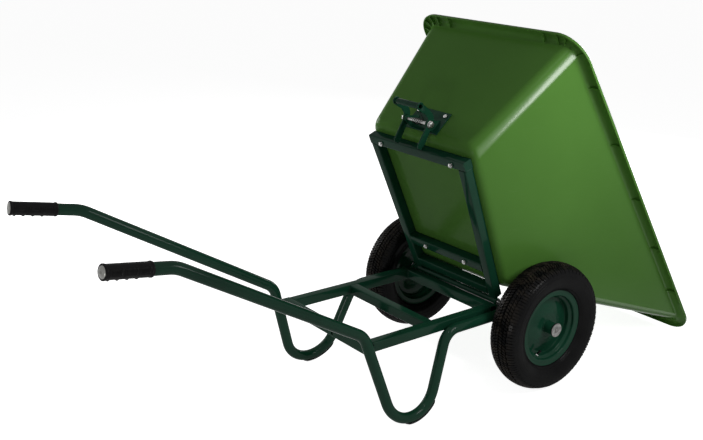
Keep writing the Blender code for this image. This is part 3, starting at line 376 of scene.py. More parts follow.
def bumpy(tree, sockets, *layers):
    """Chains bumps; each layer is (height, strength, depth in metres)."""
    normal = None
    for height, strength, depth in layers:
        inputs = {"Height": height, "Strength": strength, "Distance": depth}
        if normal is not None:
            inputs["Normal"] = normal
        normal = step(tree, "ShaderNodeBump", inputs).outputs["Normal"]
    feed(tree, sockets, Normal=normal, Coat_Normal=normal)


def frame_paint():
    made, tree, sockets, place = surface("frame_powder_green", Specular_IOR_Level=0.01, Coat_Weight=0.034,
                                         Coat_Roughness=0.07, Coat_IOR=2.6)
    broad = noise(tree, place, 7.0)
    green = shades(tree, broad, (0.3, (0.0075, 0.050, 0.0265)), (0.7, (0.0110, 0.067, 0.0360)))
    specks = between(tree, noise(tree, place, 900.0, 1.0), 0.0, 0.35, 0.70, 0.78)
    feed(tree, sockets, Base_Color=mixed(tree, specks, green, (0.10, 0.12, 0.09)),
         Roughness=between(tree, noise(tree, place, 45.0, 3.0), 0.09, 0.19))
    bumpy(tree, sockets, (noise(tree, place, 260.0, 2.0), 0.10, 0.0004), (broad, 0.25, 0.0010))
    return made


FRAME_PAINT = frame_paint()
print("made", FRAME_PAINT.name)

# %% [markdown]
# ## Moulded tray plastic
# The tray is pressed from one sheet of mid-green plastic. Its outside has a fine grain from the
# mould and is only half glossy, so highlights are soft. The shade drifts slightly over the walls,
# and there are faint scuffs, which are noise stretched along one direction. The upright corners
# carry a painted highlight: a stronger coat in a band that the tray's mesh marks with an attribute.

# %% Tray plastic
PAINTED_HIGHLIGHT_ATTRIBUTE = "painted_highlight_band"


def tray_plastic():
    made, tree, sockets, place = surface("tray_green_plastic", Specular_IOR_Level=0.01, Coat_Weight=0.024,
                                         Coat_Roughness=0.27, Coat_IOR=2.6)
    broad = noise(tree, place, 3.0, 3.0)
    green = shades(tree, broad, (0.30, (0.081, 0.208, 0.0350)), (0.70, (0.092, 0.234, 0.0405)))
    stretch = step(tree, "ShaderNodeMapping", {"Vector": place, "Scale": (60.0, 9.0, 160.0),
                                               "Rotation": (0.35, 0.0, 0.5)}).outputs[0]
    scuffs = between(tree, noise(tree, stretch, 1.0, 4.0, 0.6), 0.0, 0.16, 0.60, 0.80)
    # Painted highlight: the attribute raises the coat from 0.016 to 0.30 in a band on the upright corners.
    corner = step(tree, "ShaderNodeAttribute", attribute_name=PAINTED_HIGHLIGHT_ATTRIBUTE).outputs["Fac"]
    feed(tree, sockets, Base_Color=mixed(tree, scuffs, green, (0.14, 0.29, 0.10)),
         Coat_Weight=between(tree, corner, 0.016, 0.30),
         Roughness=between(tree, noise(tree, place, 24.0, 3.0), 0.15, 0.21))
    grain = noise(tree, place, 1400.0, 1.0)
    bumpy(tree, sockets, (grain, 0.06, 0.0003), (noise(tree, place, 11.0, 1.0), 0.04, 0.0020))
    return made


TRAY_PLASTIC = tray_plastic()
print("made", TRAY_PLASTIC.name)

# %% [markdown]
# ## Rubber, zinc and nylon
# Tyres are black rubber, dull on the sidewall and browned with dried soil on the tread, so the
# dust share grows with the distance from the axle and is broken up by noise. The grips are a
# smoother, softer rubber with lighter end plugs. Nuts, rod and caps are zinc plated: bright, with
# faint mottling. The hub's bushes are dark nylon.

# %% Rubber, zinc and nylon
TREAD_DUST_START = 0.184
TREAD_DUST_FULL = 0.199


def tyre_rubber(side):
    made, tree, sockets, place = surface(f"tyre_rubber_{'left' if side < 0 else 'right'}",
                                         Specular_IOR_Level=0.010, Coat_Weight=0.018,
                                         Coat_Roughness=0.16, Coat_IOR=2.6)
    centred = step(tree, "ShaderNodeMapping", {"Vector": place, "Location": (0, -AXLE.y, -AXLE.z),
                                               "Scale": (0, 1, 1)}).outputs[0]
    reach = step(tree, "ShaderNodeVectorMath", {0: centred}, operation="LENGTH").outputs["Value"]
    patchy = between(tree, noise(tree, place, 38.0, 4.0, 0.65), 0.0, 1.0, 0.42, 0.72)
    worn = between(tree, reach, 0.0, 0.75, TREAD_DUST_START, TREAD_DUST_FULL)
    share = calculate(tree, "MULTIPLY", patchy, worn)
    black = shades(tree, noise(tree, place, 15.0, 3.0), (0.3, (0.0040, 0.0040, 0.0042)),
                   (0.7, (0.0085, 0.0085, 0.0088)))
    feed(tree, sockets, Base_Color=mixed(tree, share, black, (0.062, 0.050, 0.038)),
         Roughness=between(tree, noise(tree, place, 60.0, 3.0), 0.42, 0.62))
    bumpy(tree, sockets, (noise(tree, place, 700.0, 2.0), 0.22, 0.0004))
    return made


def grip_rubber(name, dark, light, rough_low, rough_high):
    made, tree, sockets, place = surface(name, Specular_IOR_Level=0.02, Coat_Weight=0.020,
                                         Coat_Roughness=0.30, Coat_IOR=2.6)
    feed(tree, sockets, Base_Color=shades(tree, noise(tree, place, 80.0, 3.0), (0.3, dark), (0.7, light)),
         Roughness=between(tree, noise(tree, place, 150.0, 2.0), rough_low, rough_high))
    bumpy(tree, sockets, (noise(tree, place, 1500.0, 1.0), 0.15, 0.0002))
    return made


def zinc(name, dark, light):
    made, tree, sockets, place = surface(name, Metallic=1.0)
    feed(tree, sockets, Base_Color=shades(tree, noise(tree, place, 120.0, 3.0), (0.3, dark), (0.75, light)),
         Roughness=between(tree, noise(tree, place, 300.0, 3.0), 0.24, 0.44))
    bumpy(tree, sockets, (noise(tree, place, 800.0, 2.0), 0.10, 0.0002))
    return made


GRIP_RUBBER = grip_rubber("grip_soft_black", (0.006, 0.006, 0.0065), (0.011, 0.011, 0.0115), 0.38, 0.50)
GRIP_PLUG = zinc("grip_plug_steel", (0.15, 0.15, 0.14), (0.22, 0.22, 0.21))
NYLON = grip_rubber("bush_black_nylon", (0.012, 0.012, 0.012), (0.022, 0.022, 0.022), 0.30, 0.42)
ZINC = zinc("zinc_plate", (0.26, 0.26, 0.255), (0.44, 0.44, 0.43))
CAP_STEEL = zinc("cap_dull_zinc", (0.10, 0.10, 0.098), (0.24, 0.24, 0.23))
AXLE_STEEL = zinc("axle_dark_steel", (0.09, 0.088, 0.085), (0.16, 0.155, 0.15))
SPRING_STEEL = zinc("spring_dark_steel", (0.008, 0.008, 0.008), (0.045, 0.045, 0.045))
TYRE_RUBBER = {side: tyre_rubber(side) for word, side in SIDES}
print("made", len(bpy.data.materials), "materials")

# %% [markdown]
# ## Side tubes
# Each side is one long steel tube: handle, leg and wheel arm bent from a single length. It could
# be a curve with a bevel. A section swept along a path of straight runs and true arcs is used
# instead, because the CAD tube is drawn that way and the two then agree to a fraction of a
# millimetre. The U that stands on the floor leans outward.

# %% Bent side tubes
TUBE_RADIUS = 0.0160
TUBE_WALL = 0.0018
TUBE_X = 0.2213
GRIP_END = (0.2773, -1.4021, 0.6643)
HANDLE_BEND = (0.2618, -1.2184, 0.6321)
LEG_TOP = (TUBE_X, -0.6415, 0.2975)
LEG_FOOT = (0.2753, -0.4926, -0.168747)
LEG_RISE = (TUBE_X, -0.3359, 0.2380)
ARM_FRONT = (TUBE_X, 0.0220, 0.2380)
BEND_RADII = (0.110, 0.065, 0.0938, 0.060)
BEND_STEPS = (8, 14, 32, 14)
GRIP_CAP = 0.0040


def leg_corners(side):
    corners = (GRIP_END, HANDLE_BEND, LEG_TOP, LEG_FOOT, LEG_RISE, ARM_FRONT)
    return [Vector((side * x, y, z)) for x, y, z in corners]


def grip_direction(side):
    corners = leg_corners(side)
    return (corners[1] - corners[0]).normalized()


for word, side in SIDES:
    corners = leg_corners(side)
    corners[0] = corners[0] + grip_direction(side) * (GRIP_CAP + CLEAR)
    tube = bmesh.new()
    sweep(tube, rounded_path(corners, BEND_RADII, BEND_STEPS), circle(TUBE_RADIUS, 40),
          circle(TUBE_RADIUS - TUBE_WALL, 40), (0, 0, 1))
    carry(piece(f"bent_tube_{word}", tube, FRAME_PAINT), "chassis", "frame_paint", f"side_tube_{word}")
print("bent tubes reach z =", round(leg_corners(1)[0].z, 3))

# %% [markdown]
# ## Foot strips
# A strip of black rubber is bonded under each U to save the floor. It hugs the tube, so its
# section is an arc, and its ends are lifted a little where it thins out.

# %% Foot strips
FOOT_RADIUS = BEND_RADII[2]
STRIP_THICKNESS = 0.0040
STRIP_HALF_ANGLE = math.radians(44)
STRIP_START = -12.0
STRIP_END = 52.0
STRIP_STEPS = 40
STRIP_ARC = 12


def u_bend(side):
    """Centre of the U, with the directions down and ahead in its plane."""
    corners = leg_corners(side)
    back, ahead, half, centre = rounding(*corners[2:5], FOOT_RADIUS)
    normal = back.cross(ahead).normalized()
    down = Vector((0, 0, -1))
    down = (down - normal * down.dot(normal)).normalized()
    forward = Vector((0, 1, 0))
    forward = (forward - normal * forward.dot(normal) - down * forward.dot(down)).normalized()
    return centre, down, forward


for word, side in SIDES:
    centre, down, forward = u_bend(side)
    strip = bmesh.new()
    loops = []
    for i in range(STRIP_STEPS + 1):
        share = i / STRIP_STEPS
        angle = math.radians(STRIP_START + (STRIP_END - STRIP_START) * share)
        out = down * math.cos(angle) + forward * math.sin(angle)
        across = out.cross(forward * math.cos(angle) - down * math.sin(angle)).normalized()
        thin = min(1.0, 8 * share + 0.35, 8 * (1 - share) + 0.35)
        outer_radius = TUBE_RADIUS + CLEAR + STRIP_THICKNESS * thin
        middle = centre + out * FOOT_RADIUS
        outline = []
        for radius, turn in ((outer_radius, 1), (TUBE_RADIUS + CLEAR, -1)):
            for k in range(STRIP_ARC + 1):
                spread = turn * (2 * k / STRIP_ARC - 1)
                edge = 1 - 0.35 * abs(spread) ** 8 if turn > 0 else 1.0
                swing = spread * STRIP_HALF_ANGLE
                reach = TUBE_RADIUS + CLEAR + (radius - TUBE_RADIUS - CLEAR) * edge
                outline.append(middle + (out * math.cos(swing) + across * math.sin(swing)) * reach)
        loops.append([strip.verts.new(point) for point in outline])
    capped(strip, loops)
    carry(piece(f"foot_rubber_{word}", strip, GRIP_RUBBER), "chassis", "grip_rubber", f"foot_strip_{word}")
print("foot strips laid")

# %% [markdown]
# ## Hand grips
# The grips are soft moulded sleeves: a collar at each end, three long shallow panels with raised
# borders on each flank, fine rings between them, and four knuckle stops underneath. Each is a
# grid of points round the handle whose radius is a rule of place and angle. That gives clean
# moulded forms with no cutting. A paler plug closes the end.

# %% Hand grips
GRIP_LENGTH = 0.1220
GRIP_RADIUS = 0.0180
GRIP_COLLAR = 0.0192
GRIP_COLLAR_LENGTH = 0.0060
GRIP_STATIONS = 170
GRIP_SIDES = 84
GRIP_PANELS = ((0.0100, 0.0430), (0.0460, 0.0790), (0.0820, 0.1120))
GRIP_NUBS = (0.0140, 0.0370, 0.0610, 0.0850)
PLUG_RADIUS = 0.0150
PLUG_PROFILE = ((0.0035, 0), (0.0035, PLUG_RADIUS), (0.0006, PLUG_RADIUS), (-0.0008, 0.0135),
                (-0.0018, 0.0100), (-0.0022, 0.0060), (-0.0021, 0.0034), (-0.0010, 0.0026),
                (0.0002, 0.0018), (0.0004, 0))


def ease(value, low, high):
    share = min(max((value - low) / (high - low), 0.0), 1.0)
    return share * share * (3 - 2 * share)


def within(value, low, high, soft):
    """1 inside a range and 0 outside it, with soft edges."""
    return ease(value, low, low + soft) * (1 - ease(value, high - soft, high))


def grip_radius(along, angle):
    """Outside of the grip; angle 90 is up, 0 and 180 are its flanks."""
    collar = 1 - within(along, GRIP_COLLAR_LENGTH - 0.001, GRIP_LENGTH - GRIP_COLLAR_LENGTH + 0.001, 0.001)
    radius = GRIP_RADIUS + (GRIP_COLLAR - GRIP_RADIUS) * collar
    flank = min(abs(angle - 8), abs(angle - 360 - 8), abs(angle - 172))
    for low, high in GRIP_PANELS:
        border = within(along, low, high, 0.0009) * (1 - ease(flank, 33, 37))
        sunk = within(along, low + 0.0022, high - 0.0022, 0.0010) * (1 - ease(flank, 25, 29))
        radius += 0.0007 * border - 0.0017 * sunk
        ripple = within(along, low + 0.004, high - 0.004, 0.001) * (1 - ease(flank, 18, 22))
        radius += 0.0004 * ripple * math.cos(2 * math.pi * along / 0.0030)
    under = abs(angle - 270)
    for middle in GRIP_NUBS:
        radius += 0.0024 * within(along, middle - 0.0045, middle + 0.0045, 0.0035) * (1 - ease(under, 10, 26))
    end = min(along, GRIP_LENGTH - along)
    return radius - 0.0016 * (1 - ease(end, 0.0, 0.0018)) ** 2


def grip_place(side):
    turn = grip_direction(side).to_track_quat("X", "Z").to_matrix().to_4x4()
    return BARROW @ Matrix.Translation(leg_corners(side)[0]) @ turn


for word, side in SIDES:
    grip = bmesh.new()
    loops = []
    for i in range(GRIP_STATIONS + 1):
        along = GRIP_LENGTH * i / GRIP_STATIONS
        angles = [360 * k / GRIP_SIDES for k in range(GRIP_SIDES)]
        loops.append([grip.verts.new((along, *polar(grip_radius(along, angle), math.radians(angle))))
                      for angle in angles])
    for along, radius in ((GRIP_LENGTH, TUBE_RADIUS + CLEAR), (GRIP_CAP, TUBE_RADIUS + CLEAR),
                          (GRIP_CAP, PLUG_RADIUS), (0.0012, PLUG_RADIUS), (0.0, PLUG_RADIUS + 0.0008)):
        loops.append([grip.verts.new((along, *point)) for point in circle(radius, GRIP_SIDES)])
    bridge(grip, loops, True)
    place = grip_place(side)
    carry(piece(f"moulded_grip_{word}", grip, GRIP_RUBBER, place), "chassis", "grip_rubber", f"grip_{word}")
    plug = turned(f"grip_plug_{word}", PLUG_PROFILE, 48, GRIP_PLUG, place, closed=False)
    carry(plug, "chassis", "grip_rubber")
print("grips moulded:", GRIP_STATIONS * GRIP_SIDES, "faces each")

# %% [markdown]
# ## Square tubes of the chassis
# Two rails and three crossbars of 30 mm square tube, all with rounded corners and open ends. A
# flat outline with softened corners is swept between two points. The rear crossbar has two slots
# where the latch hooks in; they are cut with a Boolean modifier, which is then applied.

# %% Square tubes
BAR = 0.0300
BAR_WALL = 0.0018
BAR_REACH = 0.0040
RAIL_OUTER_X = 0.2050
RAIL_TOP = 0.2611
BAR_Z = RAIL_TOP - BAR / 2
CROSSBAR_REAR_Y = -0.6242
CROSSBAR_MIDDLE_Y = -0.3844
CROSSBAR_FRONT_Y = -0.1428
HOOK_SLOT_X = 0.05225
HOOK_SLOT_WIDTH = 0.0080
HOOK_SLOT_TOP = 0.0065
HOOK_SLOT_BOTTOM = 0.0240


def square(size, reach):
    half = size / 2
    return softened([(half, half), (-half, half), (-half, -half), (half, -half)], reach, 5)


def square_tube(name, start, end, side_hint=(1, 0, 0), place=BARROW, open_ends=True):
    hollow = square(BAR - 2 * BAR_WALL, BAR_REACH - BAR_WALL) if open_ends else None
    work = bmesh.new()
    sweep(work, [start, end], square(BAR, BAR_REACH), hollow, side_hint)
    return piece(name, work, FRAME_PAINT, place)


def applied(made):
    """Keeps what an object's modifiers make and drops them."""
    mesh = bpy.data.meshes.new_from_object(made.evaluated_get(bpy.context.evaluated_depsgraph_get()))
    made.modifiers.clear()
    made.data = mesh
    shade(mesh)
    return made


def cut(made, tools):
    """Cuts box or round tools from a piece and throws the tools away."""
    for tool in tools:
        change = made.modifiers.new("cut", "BOOLEAN")
        change.solver = "EXACT"
        change.object = tool
    applied(made)
    for tool in tools:
        bpy.data.objects.remove(tool, do_unlink=True)
    return made


slots = []
for side in (-1, 1):
    tool = bmesh.new()
    bmesh.ops.create_cube(tool, size=1.0)
    slot_size = (HOOK_SLOT_WIDTH, 4 * BAR_WALL, HOOK_SLOT_BOTTOM - HOOK_SLOT_TOP)
    slot_middle = (side * HOOK_SLOT_X, CROSSBAR_REAR_Y, RAIL_TOP - (HOOK_SLOT_BOTTOM + HOOK_SLOT_TOP) / 2)
    slots.append(piece(f"slot_tool_{side}", tool, None,
                       BARROW @ Matrix.Translation(slot_middle) @ Matrix.Diagonal((*slot_size, 1))))
bars = []
for word, rear_y, half in (("rear", CROSSBAR_REAR_Y, RAIL_OUTER_X),
                           ("middle", CROSSBAR_MIDDLE_Y, RAIL_OUTER_X - BAR - CLEAR),
                           ("front", CROSSBAR_FRONT_Y, RAIL_OUTER_X)):
    y = rear_y + BAR / 2
    bar = square_tube(f"square_bar_{word}", (-half, y, BAR_Z), (half, y, BAR_Z), (0, 1, 0))
    bars.append((bar, f"crossbar_{word}"))
cut(bars[0][0], slots)
for word, side in SIDES:
    x = side * (RAIL_OUTER_X - BAR / 2)
    rail = square_tube(f"square_rail_{word}", (x, CROSSBAR_REAR_Y + BAR + CLEAR, BAR_Z),
                       (x, CROSSBAR_FRONT_Y - CLEAR, BAR_Z))
    bars.append((rail, f"rail_{word}"))
for bar, node in bars:
    carry(bar, "chassis", "frame_paint", node)
print("square tubes:", [node for bar, node in bars])

# %% [markdown]
# ## Plates with eased edges
# Lugs, brackets and the latch's plates are sheet steel, stamped or cut. Their CAD shape is right,
# and only their edges are too sharp to catch the light. `eased` copies a CAD node's mesh, merges
# its loose triangles, and gives every edge a narrow Bevel.

# %% Lugs, axle brackets and other plates
FRAME_PLATE_EASE = 0.0006
LATCH_PLATE_EASE = 0.0005


def eased(name, node, paint, width, body, slot="frame_paint"):
    """A copy of a CAD node with narrow rounded edges."""
    source = next(o for o in bpy.data.objects if o.name == node)
    work = bmesh.new()
    work.from_mesh(source.data)
    bmesh.ops.remove_doubles(work, verts=work.verts, dist=0.00002)
    bmesh.ops.dissolve_limit(work, angle_limit=math.radians(1.0), verts=work.verts, edges=work.edges)
    sharp = [edge for edge in work.edges
             if len(edge.link_faces) == 2 and edge.calc_face_angle(0.0) > math.radians(28)]
    bmesh.ops.bevel(work, geom=sharp, offset=width, segments=2, profile=0.6, affect="EDGES",
                    clamp_overlap=True)
    made = piece(name, work, paint, UNMOVED, math.radians(50))
    return carry(made, body, slot, node)


for word, side in SIDES:
    eased(f"lug_plate_{word}", f"hinge_lug_{word}", FRAME_PAINT, FRAME_PLATE_EASE, "chassis")
    eased(f"axle_channel_{word}", f"axle_bracket_{word}", FRAME_PAINT, FRAME_PLATE_EASE, "chassis")
    eased(f"latch_hook_{word}", f"latch_cheek_{word}", FRAME_PAINT, LATCH_PLATE_EASE, "latch")
eased("latch_mount", "latch_bracket", FRAME_PAINT, LATCH_PLATE_EASE, "tray")
print("plates eased")

# %% [markdown]
# ## Axle and its caps
# One zinc-plated bar carries both wheels. A pressed cap is pushed on each end: a shallow dished
# disc with a rolled rim, and the darker end of the bar in its middle.

# %% Axle and caps
AXLE_RADIUS = 0.0080
CAP_INNER_X = 0.3456
CAP_RADIUS = 0.0215
CAP_THICKNESS = 0.0025
AXLE_HALF = 0.3511
AT_AXLE = Matrix.Translation((0, AXLE.y, AXLE.z))

half_axle = [(AXLE_HALF, 0), (AXLE_HALF, AXLE_RADIUS - 0.0016), (AXLE_HALF - 0.0010, AXLE_RADIUS - 0.0004),
             (AXLE_HALF - 0.0018, AXLE_RADIUS)]
bar = turned("axle_bar", half_axle + mirrored(half_axle), 40, AXLE_STEEL, AT_AXLE, closed=False)
carry(bar, "chassis", "zinc_steel", "axle")
for word, side in SIDES:
    outer_x = CAP_INNER_X + CAP_THICKNESS
    profile = [(CAP_INNER_X, AXLE_RADIUS + CLEAR), (CAP_INNER_X, CAP_RADIUS - 0.0008),
               (CAP_INNER_X + 0.0010, CAP_RADIUS), (outer_x - 0.0006, CAP_RADIUS - 0.0002),
               (outer_x, CAP_RADIUS - 0.0022), (outer_x - 0.0003, CAP_RADIUS - 0.0038),
               (outer_x - 0.0009, CAP_RADIUS - 0.0052), (outer_x - 0.0008, AXLE_RADIUS + 0.0040),
               (outer_x + 0.0004, AXLE_RADIUS + 0.0022), (outer_x + 0.0006, AXLE_RADIUS + 0.0010),
               (outer_x + 0.0002, AXLE_RADIUS + CLEAR)]
    cap = turned(f"dished_cap_{word}", profile, 64, CAP_STEEL, AT_AXLE, side)
    carry(cap, "chassis", "zinc_steel", f"axle_cap_{word}")
print("axle and caps on")

# %% [markdown]
# ## Tyres
# Pneumatic tyres, 400 mm across. The carcass is turned from a profile that bulges from bead to
# bead, with thin moulded rings on the sidewall. The tread repeats 64 times round it, so one pitch
# of lugs and knobs is modelled and a geometry tree turns copies of it about the axle.

# %% Tyre carcass
WHEEL_RADIUS = 0.2000
WHEEL_OFFSET = 0.2990
WHEEL_SIDES = 160
TREAD_HALF = 0.0420
CARCASS_INSIDE = ((0.0180, 0.1905), (0.0355, 0.1825), (0.0425, 0.1620), (0.0385, 0.1450), (0.0189, 0.1227),
                  (0.0179, 0.1045))
TREAD_CROWN = 0.0118
TREAD_DEPTH = 0.0052
KNOB_ROOT = 0.0006
TYRE_RINGS = ((0.1290, 0.0011, 0.0010), (0.1525, 0.0007, 0.0004), (0.1680, 0.0008, 0.0007),
              (0.1760, 0.0007, 0.0004))


def wheel_place(side):
    return Matrix.Translation((side * WHEEL_OFFSET, AXLE.y, AXLE.z))


def tread_top(x):
    """Radius of the tread's top across its width; it falls away at the shoulders."""
    return WHEEL_RADIUS - 0.0002 - TREAD_CROWN * (abs(x) / TREAD_HALF) ** 2.2


def curve_through(points, steps):
    """A smooth line through flat points."""
    points = [Vector(p) for p in points]
    line = []
    for i in range(len(points) - 1):
        a, b = points[max(i - 1, 0)], points[i]
        c, d = points[i + 1], points[min(i + 2, len(points) - 1)]
        for k in range(steps):
            t = k / steps
            line.append(0.5 * (2 * b + (c - a) * t + (2 * a - 5 * b + 4 * c - d) * t * t
                               + (3 * b - a - 3 * c + d) * t ** 3))
    line.append(points[-1])
    return line


def tyre_outline():
    """Half of the outside from bead to crown, with moulded rings on the sidewall."""
    bead = [(0.0259, 0.1045), (0.0259, 0.1171), (0.0276, 0.1212), (0.0306, 0.1216)]
    wall = curve_through([(0.0328, 0.1222), (0.0390, 0.1295), (0.0448, 0.1405), (0.0484, 0.1520),
                          (0.0498, 0.1630), (0.0491, 0.1730), (0.0470, 0.1795), (0.0436, 0.1838),
                          (0.0400, 0.1858)], 28)
    ringed = []
    for index, point in enumerate(wall):
        rise, near = 0.0, False
        for middle, half, height in TYRE_RINGS:
            away = abs(point.y - middle) / half
            rise = max(rise, height * max(0.0, 1 - away ** 2))
            near = near or away < 1.6
        if near or index % 5 == 0 or index == len(wall) - 1:
            ringed.append((point.x + rise, point.y))
    crown = [(x, tread_top(x) - TREAD_DEPTH) for x in (0.0330, 0.0250, 0.0170, 0.0090, 0.0)]
    return bead + ringed + crown


# %% One pitch of tread, repeated by nodes
TREAD_PITCHES = 64
PITCH = 2 * math.pi / TREAD_PITCHES


def tread_block(work, stations, middle, top_half, skew=0.0):
    """A block whose stations are (x, top radius, foot radius), centred on an angle."""
    loops = []
    for index, (x, top, foot) in enumerate(stations):
        lean = skew * (index / (len(stations) - 1) - 0.5)
        ring = []
        for radius, half in ((foot, top_half * 1.30), (top, top_half)):
            for sign in (-1, 1) if radius == foot else (1, -1):
                angle = middle + lean + sign * half
                ring.append(work.verts.new((x, *polar(radius, angle))))
        loops.append(ring)
    capped(work, loops)


def tread_pitch():
    """Two shoulder lugs a side, the second reaching further in, and four crown knobs a side."""
    work = bmesh.new()
    for edge in (-1, 1):
        for index in (0, 1):
            middle = PITCH * (0.72 if index else 0.25)
            inner = 0.0290 if index else 0.0262
            outer = 0.0452 if index else 0.0440
            half = PITCH * (0.18 if index else 0.20)
            stations = [(inner, tread_top(inner) - 0.0004, tread_top(inner) - 0.0064),
                        (0.0370, tread_top(0.0370), tread_top(0.0370) - 0.0070),
                        (outer, tread_top(outer), tread_top(outer) - 0.0078),
                        (outer + 0.0028, tread_top(outer) - 0.0070, tread_top(outer) - 0.0118)]
            tread_block(work, [(edge * x, top, foot) for x, top, foot in stations], middle, half)
        for index in (0, 1):
            for low, high, shift in ((0.0158, 0.0238, 0.0), (0.0030, 0.0125, 0.25)):
                middle = PITCH * (0.25 + 0.5 * index + shift + (0.12 if edge > 0 else 0.0))
                stations = [(edge * x, tread_top(x), tread_top(x) - TREAD_DEPTH - KNOB_ROOT)
                            for x in (low, high)]
                tread_block(work, stations, middle, PITCH * 0.160, PITCH * 0.22)
    return work


def ring_tree():
    """Copies what comes in a number of times about the X axis."""
    tree, given = geometry_tree("repeat about the axle", ("Count", "NodeSocketInt"),
                                ("Paint", "NodeSocketMaterial"))
    points = step(tree, "GeometryNodeMeshLine", {"Count": given["Count"], "Offset": (0, 0, 0)})
    index = step(tree, "GeometryNodeInputIndex").outputs[0]
    pitch = calculate(tree, "DIVIDE", 2 * math.pi, given["Count"])
    angle = calculate(tree, "MULTIPLY", index, pitch)
    euler = step(tree, "ShaderNodeCombineXYZ", {"X": angle}).outputs[0]
    turn = step(tree, "FunctionNodeEulerToRotation", {0: euler}).outputs[0]
    placed = step(tree, "GeometryNodeInstanceOnPoints", {"Points": points.outputs["Mesh"],
                                                         "Instance": given["Geometry"], "Rotation": turn})
    close_tree(tree, placed.outputs["Instances"], given["Paint"])
    return tree


ROUND_THE_AXLE = ring_tree()


def shifted(made, place):
    made.data.transform(place)
    return made


for word, side in SIDES:
    at_wheel = wheel_place(side)
    outside = tyre_outline()
    inside = mirrored(CARCASS_INSIDE) + list(CARCASS_INSIDE)
    profile = outside + mirrored(outside)[1:] + inside
    carcass = turned(f"tyre_carcass_{word}", profile, WHEEL_SIDES, TYRE_RUBBER[side], at_wheel, side)
    carry(carcass, f"wheel_{word}", "tyre_rubber", f"tyre_{word}")
    tread = piece(f"tyre_tread_{word}", tread_pitch(), None, UNMOVED)
    grow(tread, ROUND_THE_AXLE, Count=TREAD_PITCHES, Paint=TYRE_RUBBER[side])
    carry(shifted(tread, at_wheel), f"wheel_{word}", "tyre_rubber")
    print(tread.name, len(tread.data.polygons), "faces")

# %% [markdown]
# ## Rims, hubs and valves
# Each rim is rolled steel, painted like the frame, with a shallow cone of a disc welded inside it
# and a tube for a hub. Fine rings run round the disc. The channel is rounded, so every corner of
# the profile is softened before it is turned. A rubber valve stem leans out of the dish.

# %% Rims
HUB_RADIUS = 0.0185
HUB_BORE = 0.0145
HUB_INNER = -0.0576
HUB_OUTER = 0.0430
RIM_SHEET = 0.0022
RIM_DISC = ((0.0188, 0.0108), (0.0245, 0.0106), (0.0262, 0.0096), (0.0330, 0.0094), (0.0346, 0.0100),
            (0.0420, 0.0092), (0.0800, 0.0000), (0.0830, -0.0005), (0.0928, -0.0005))
RIM_DISC_RINGS = (0.0440, 0.0485, 0.0530, 0.0575)
RIM_DISC_RING = 0.0003
RIM_DISC_KNEE_X, RIM_DISC_KNEE = 0.0092, 0.0420
RIM_DISC_FOOT = 0.0800
RIM_DISC_SLOPE = -RIM_DISC_KNEE_X / (RIM_DISC_FOOT - RIM_DISC_KNEE)
RIM_CHANNEL = ((0.0128, 0.0928), (0.0183, 0.1020), (0.0262, 0.1020), (0.0284, 0.1042), (0.0284, 0.1160),
               (0.0308, 0.1207), (0.0279, 0.1207), (0.0262, 0.1167), (0.0262, 0.1042), (0.0172, 0.1042),
               (0.0117, 0.0950))
BUSH_FLANGE_RADIUS = 0.0205
BUSH_FLANGE = 0.0030
BUSH_LENGTH = 0.020
VALVE_ANGLE = math.radians(-114.0)
VALVE_RADIUS = 0.0035
VALVE_NUT = ((0.0170, VALVE_RADIUS - 0.0004), (0.0170, 0.0056), (0.0204, 0.0056), (0.0212, 0.0048),
             (0.0212, VALVE_RADIUS - 0.0004))
VALVE_FOOT_X, VALVE_FOOT_REACH = 0.0040, 0.1097
VALVE_TIP_X, VALVE_TIP_REACH = 0.0200, 0.0760
INNER_TUBE = ((0.0132, 0.1082), (0.0145, 0.1197), (0.0320, 0.1480), (0.0395, 0.1600), (0.0315, 0.1785),
              (0.0100, 0.1865))

for word, side in SIDES:
    at_wheel = wheel_place(side)
    body = f"wheel_{word}"
    disc = [(x, r) for r, x in RIM_DISC]
    for r in RIM_DISC_RINGS:
        for further, rise in ((0.0, 0.0), (0.0009, RIM_DISC_RING), (0.0018, 0.0)):
            x = RIM_DISC_KNEE_X + RIM_DISC_SLOPE * (r + further - RIM_DISC_KNEE)
            disc.append((x + rise, r + further))
    disc.sort(key=lambda point: point[1])
    disc_back = [(x - RIM_SHEET, r) for x, r in disc[::-1]]
    profile = disc + list(RIM_CHANNEL) + mirrored(RIM_CHANNEL) + disc_back
    rim = turned(f"rolled_rim_{word}", softened(profile, 0.0026), WHEEL_SIDES, FRAME_PAINT, at_wheel, side)
    carry(rim, body, "frame_paint", f"rim_{word}")
    tube = [(HUB_INNER, HUB_BORE), (HUB_INNER, HUB_RADIUS), (HUB_OUTER, HUB_RADIUS), (HUB_OUTER, HUB_BORE)]
    hub = turned(f"hub_tube_{word}", softened(tube, 0.0010, 3), 64, FRAME_PAINT, at_wheel, side)
    carry(hub, body, "frame_paint", f"hub_{word}")
    for place, end, outward in (("outer", HUB_OUTER, 1), ("inner", HUB_INNER, -1)):
        bore, wide = AXLE_RADIUS + CLEAR, HUB_BORE - CLEAR
        near, far = end + outward * CLEAR, end + outward * (CLEAR + BUSH_FLANGE)
        inside = end - outward * BUSH_LENGTH
        profile = [(inside, bore), (inside, wide), (near, wide), (near, BUSH_FLANGE_RADIUS),
                   (far, BUSH_FLANGE_RADIUS), (far, bore)]
        profile = softened(profile, 0.0008, 3)
        bush = turned(f"nylon_bush_{place}_{word}", profile, 64, NYLON, at_wheel, side)
        carry(bush, body, "bush_plastic", f"bush_{place}_{word}")
print("rims, hubs and bushes turned")

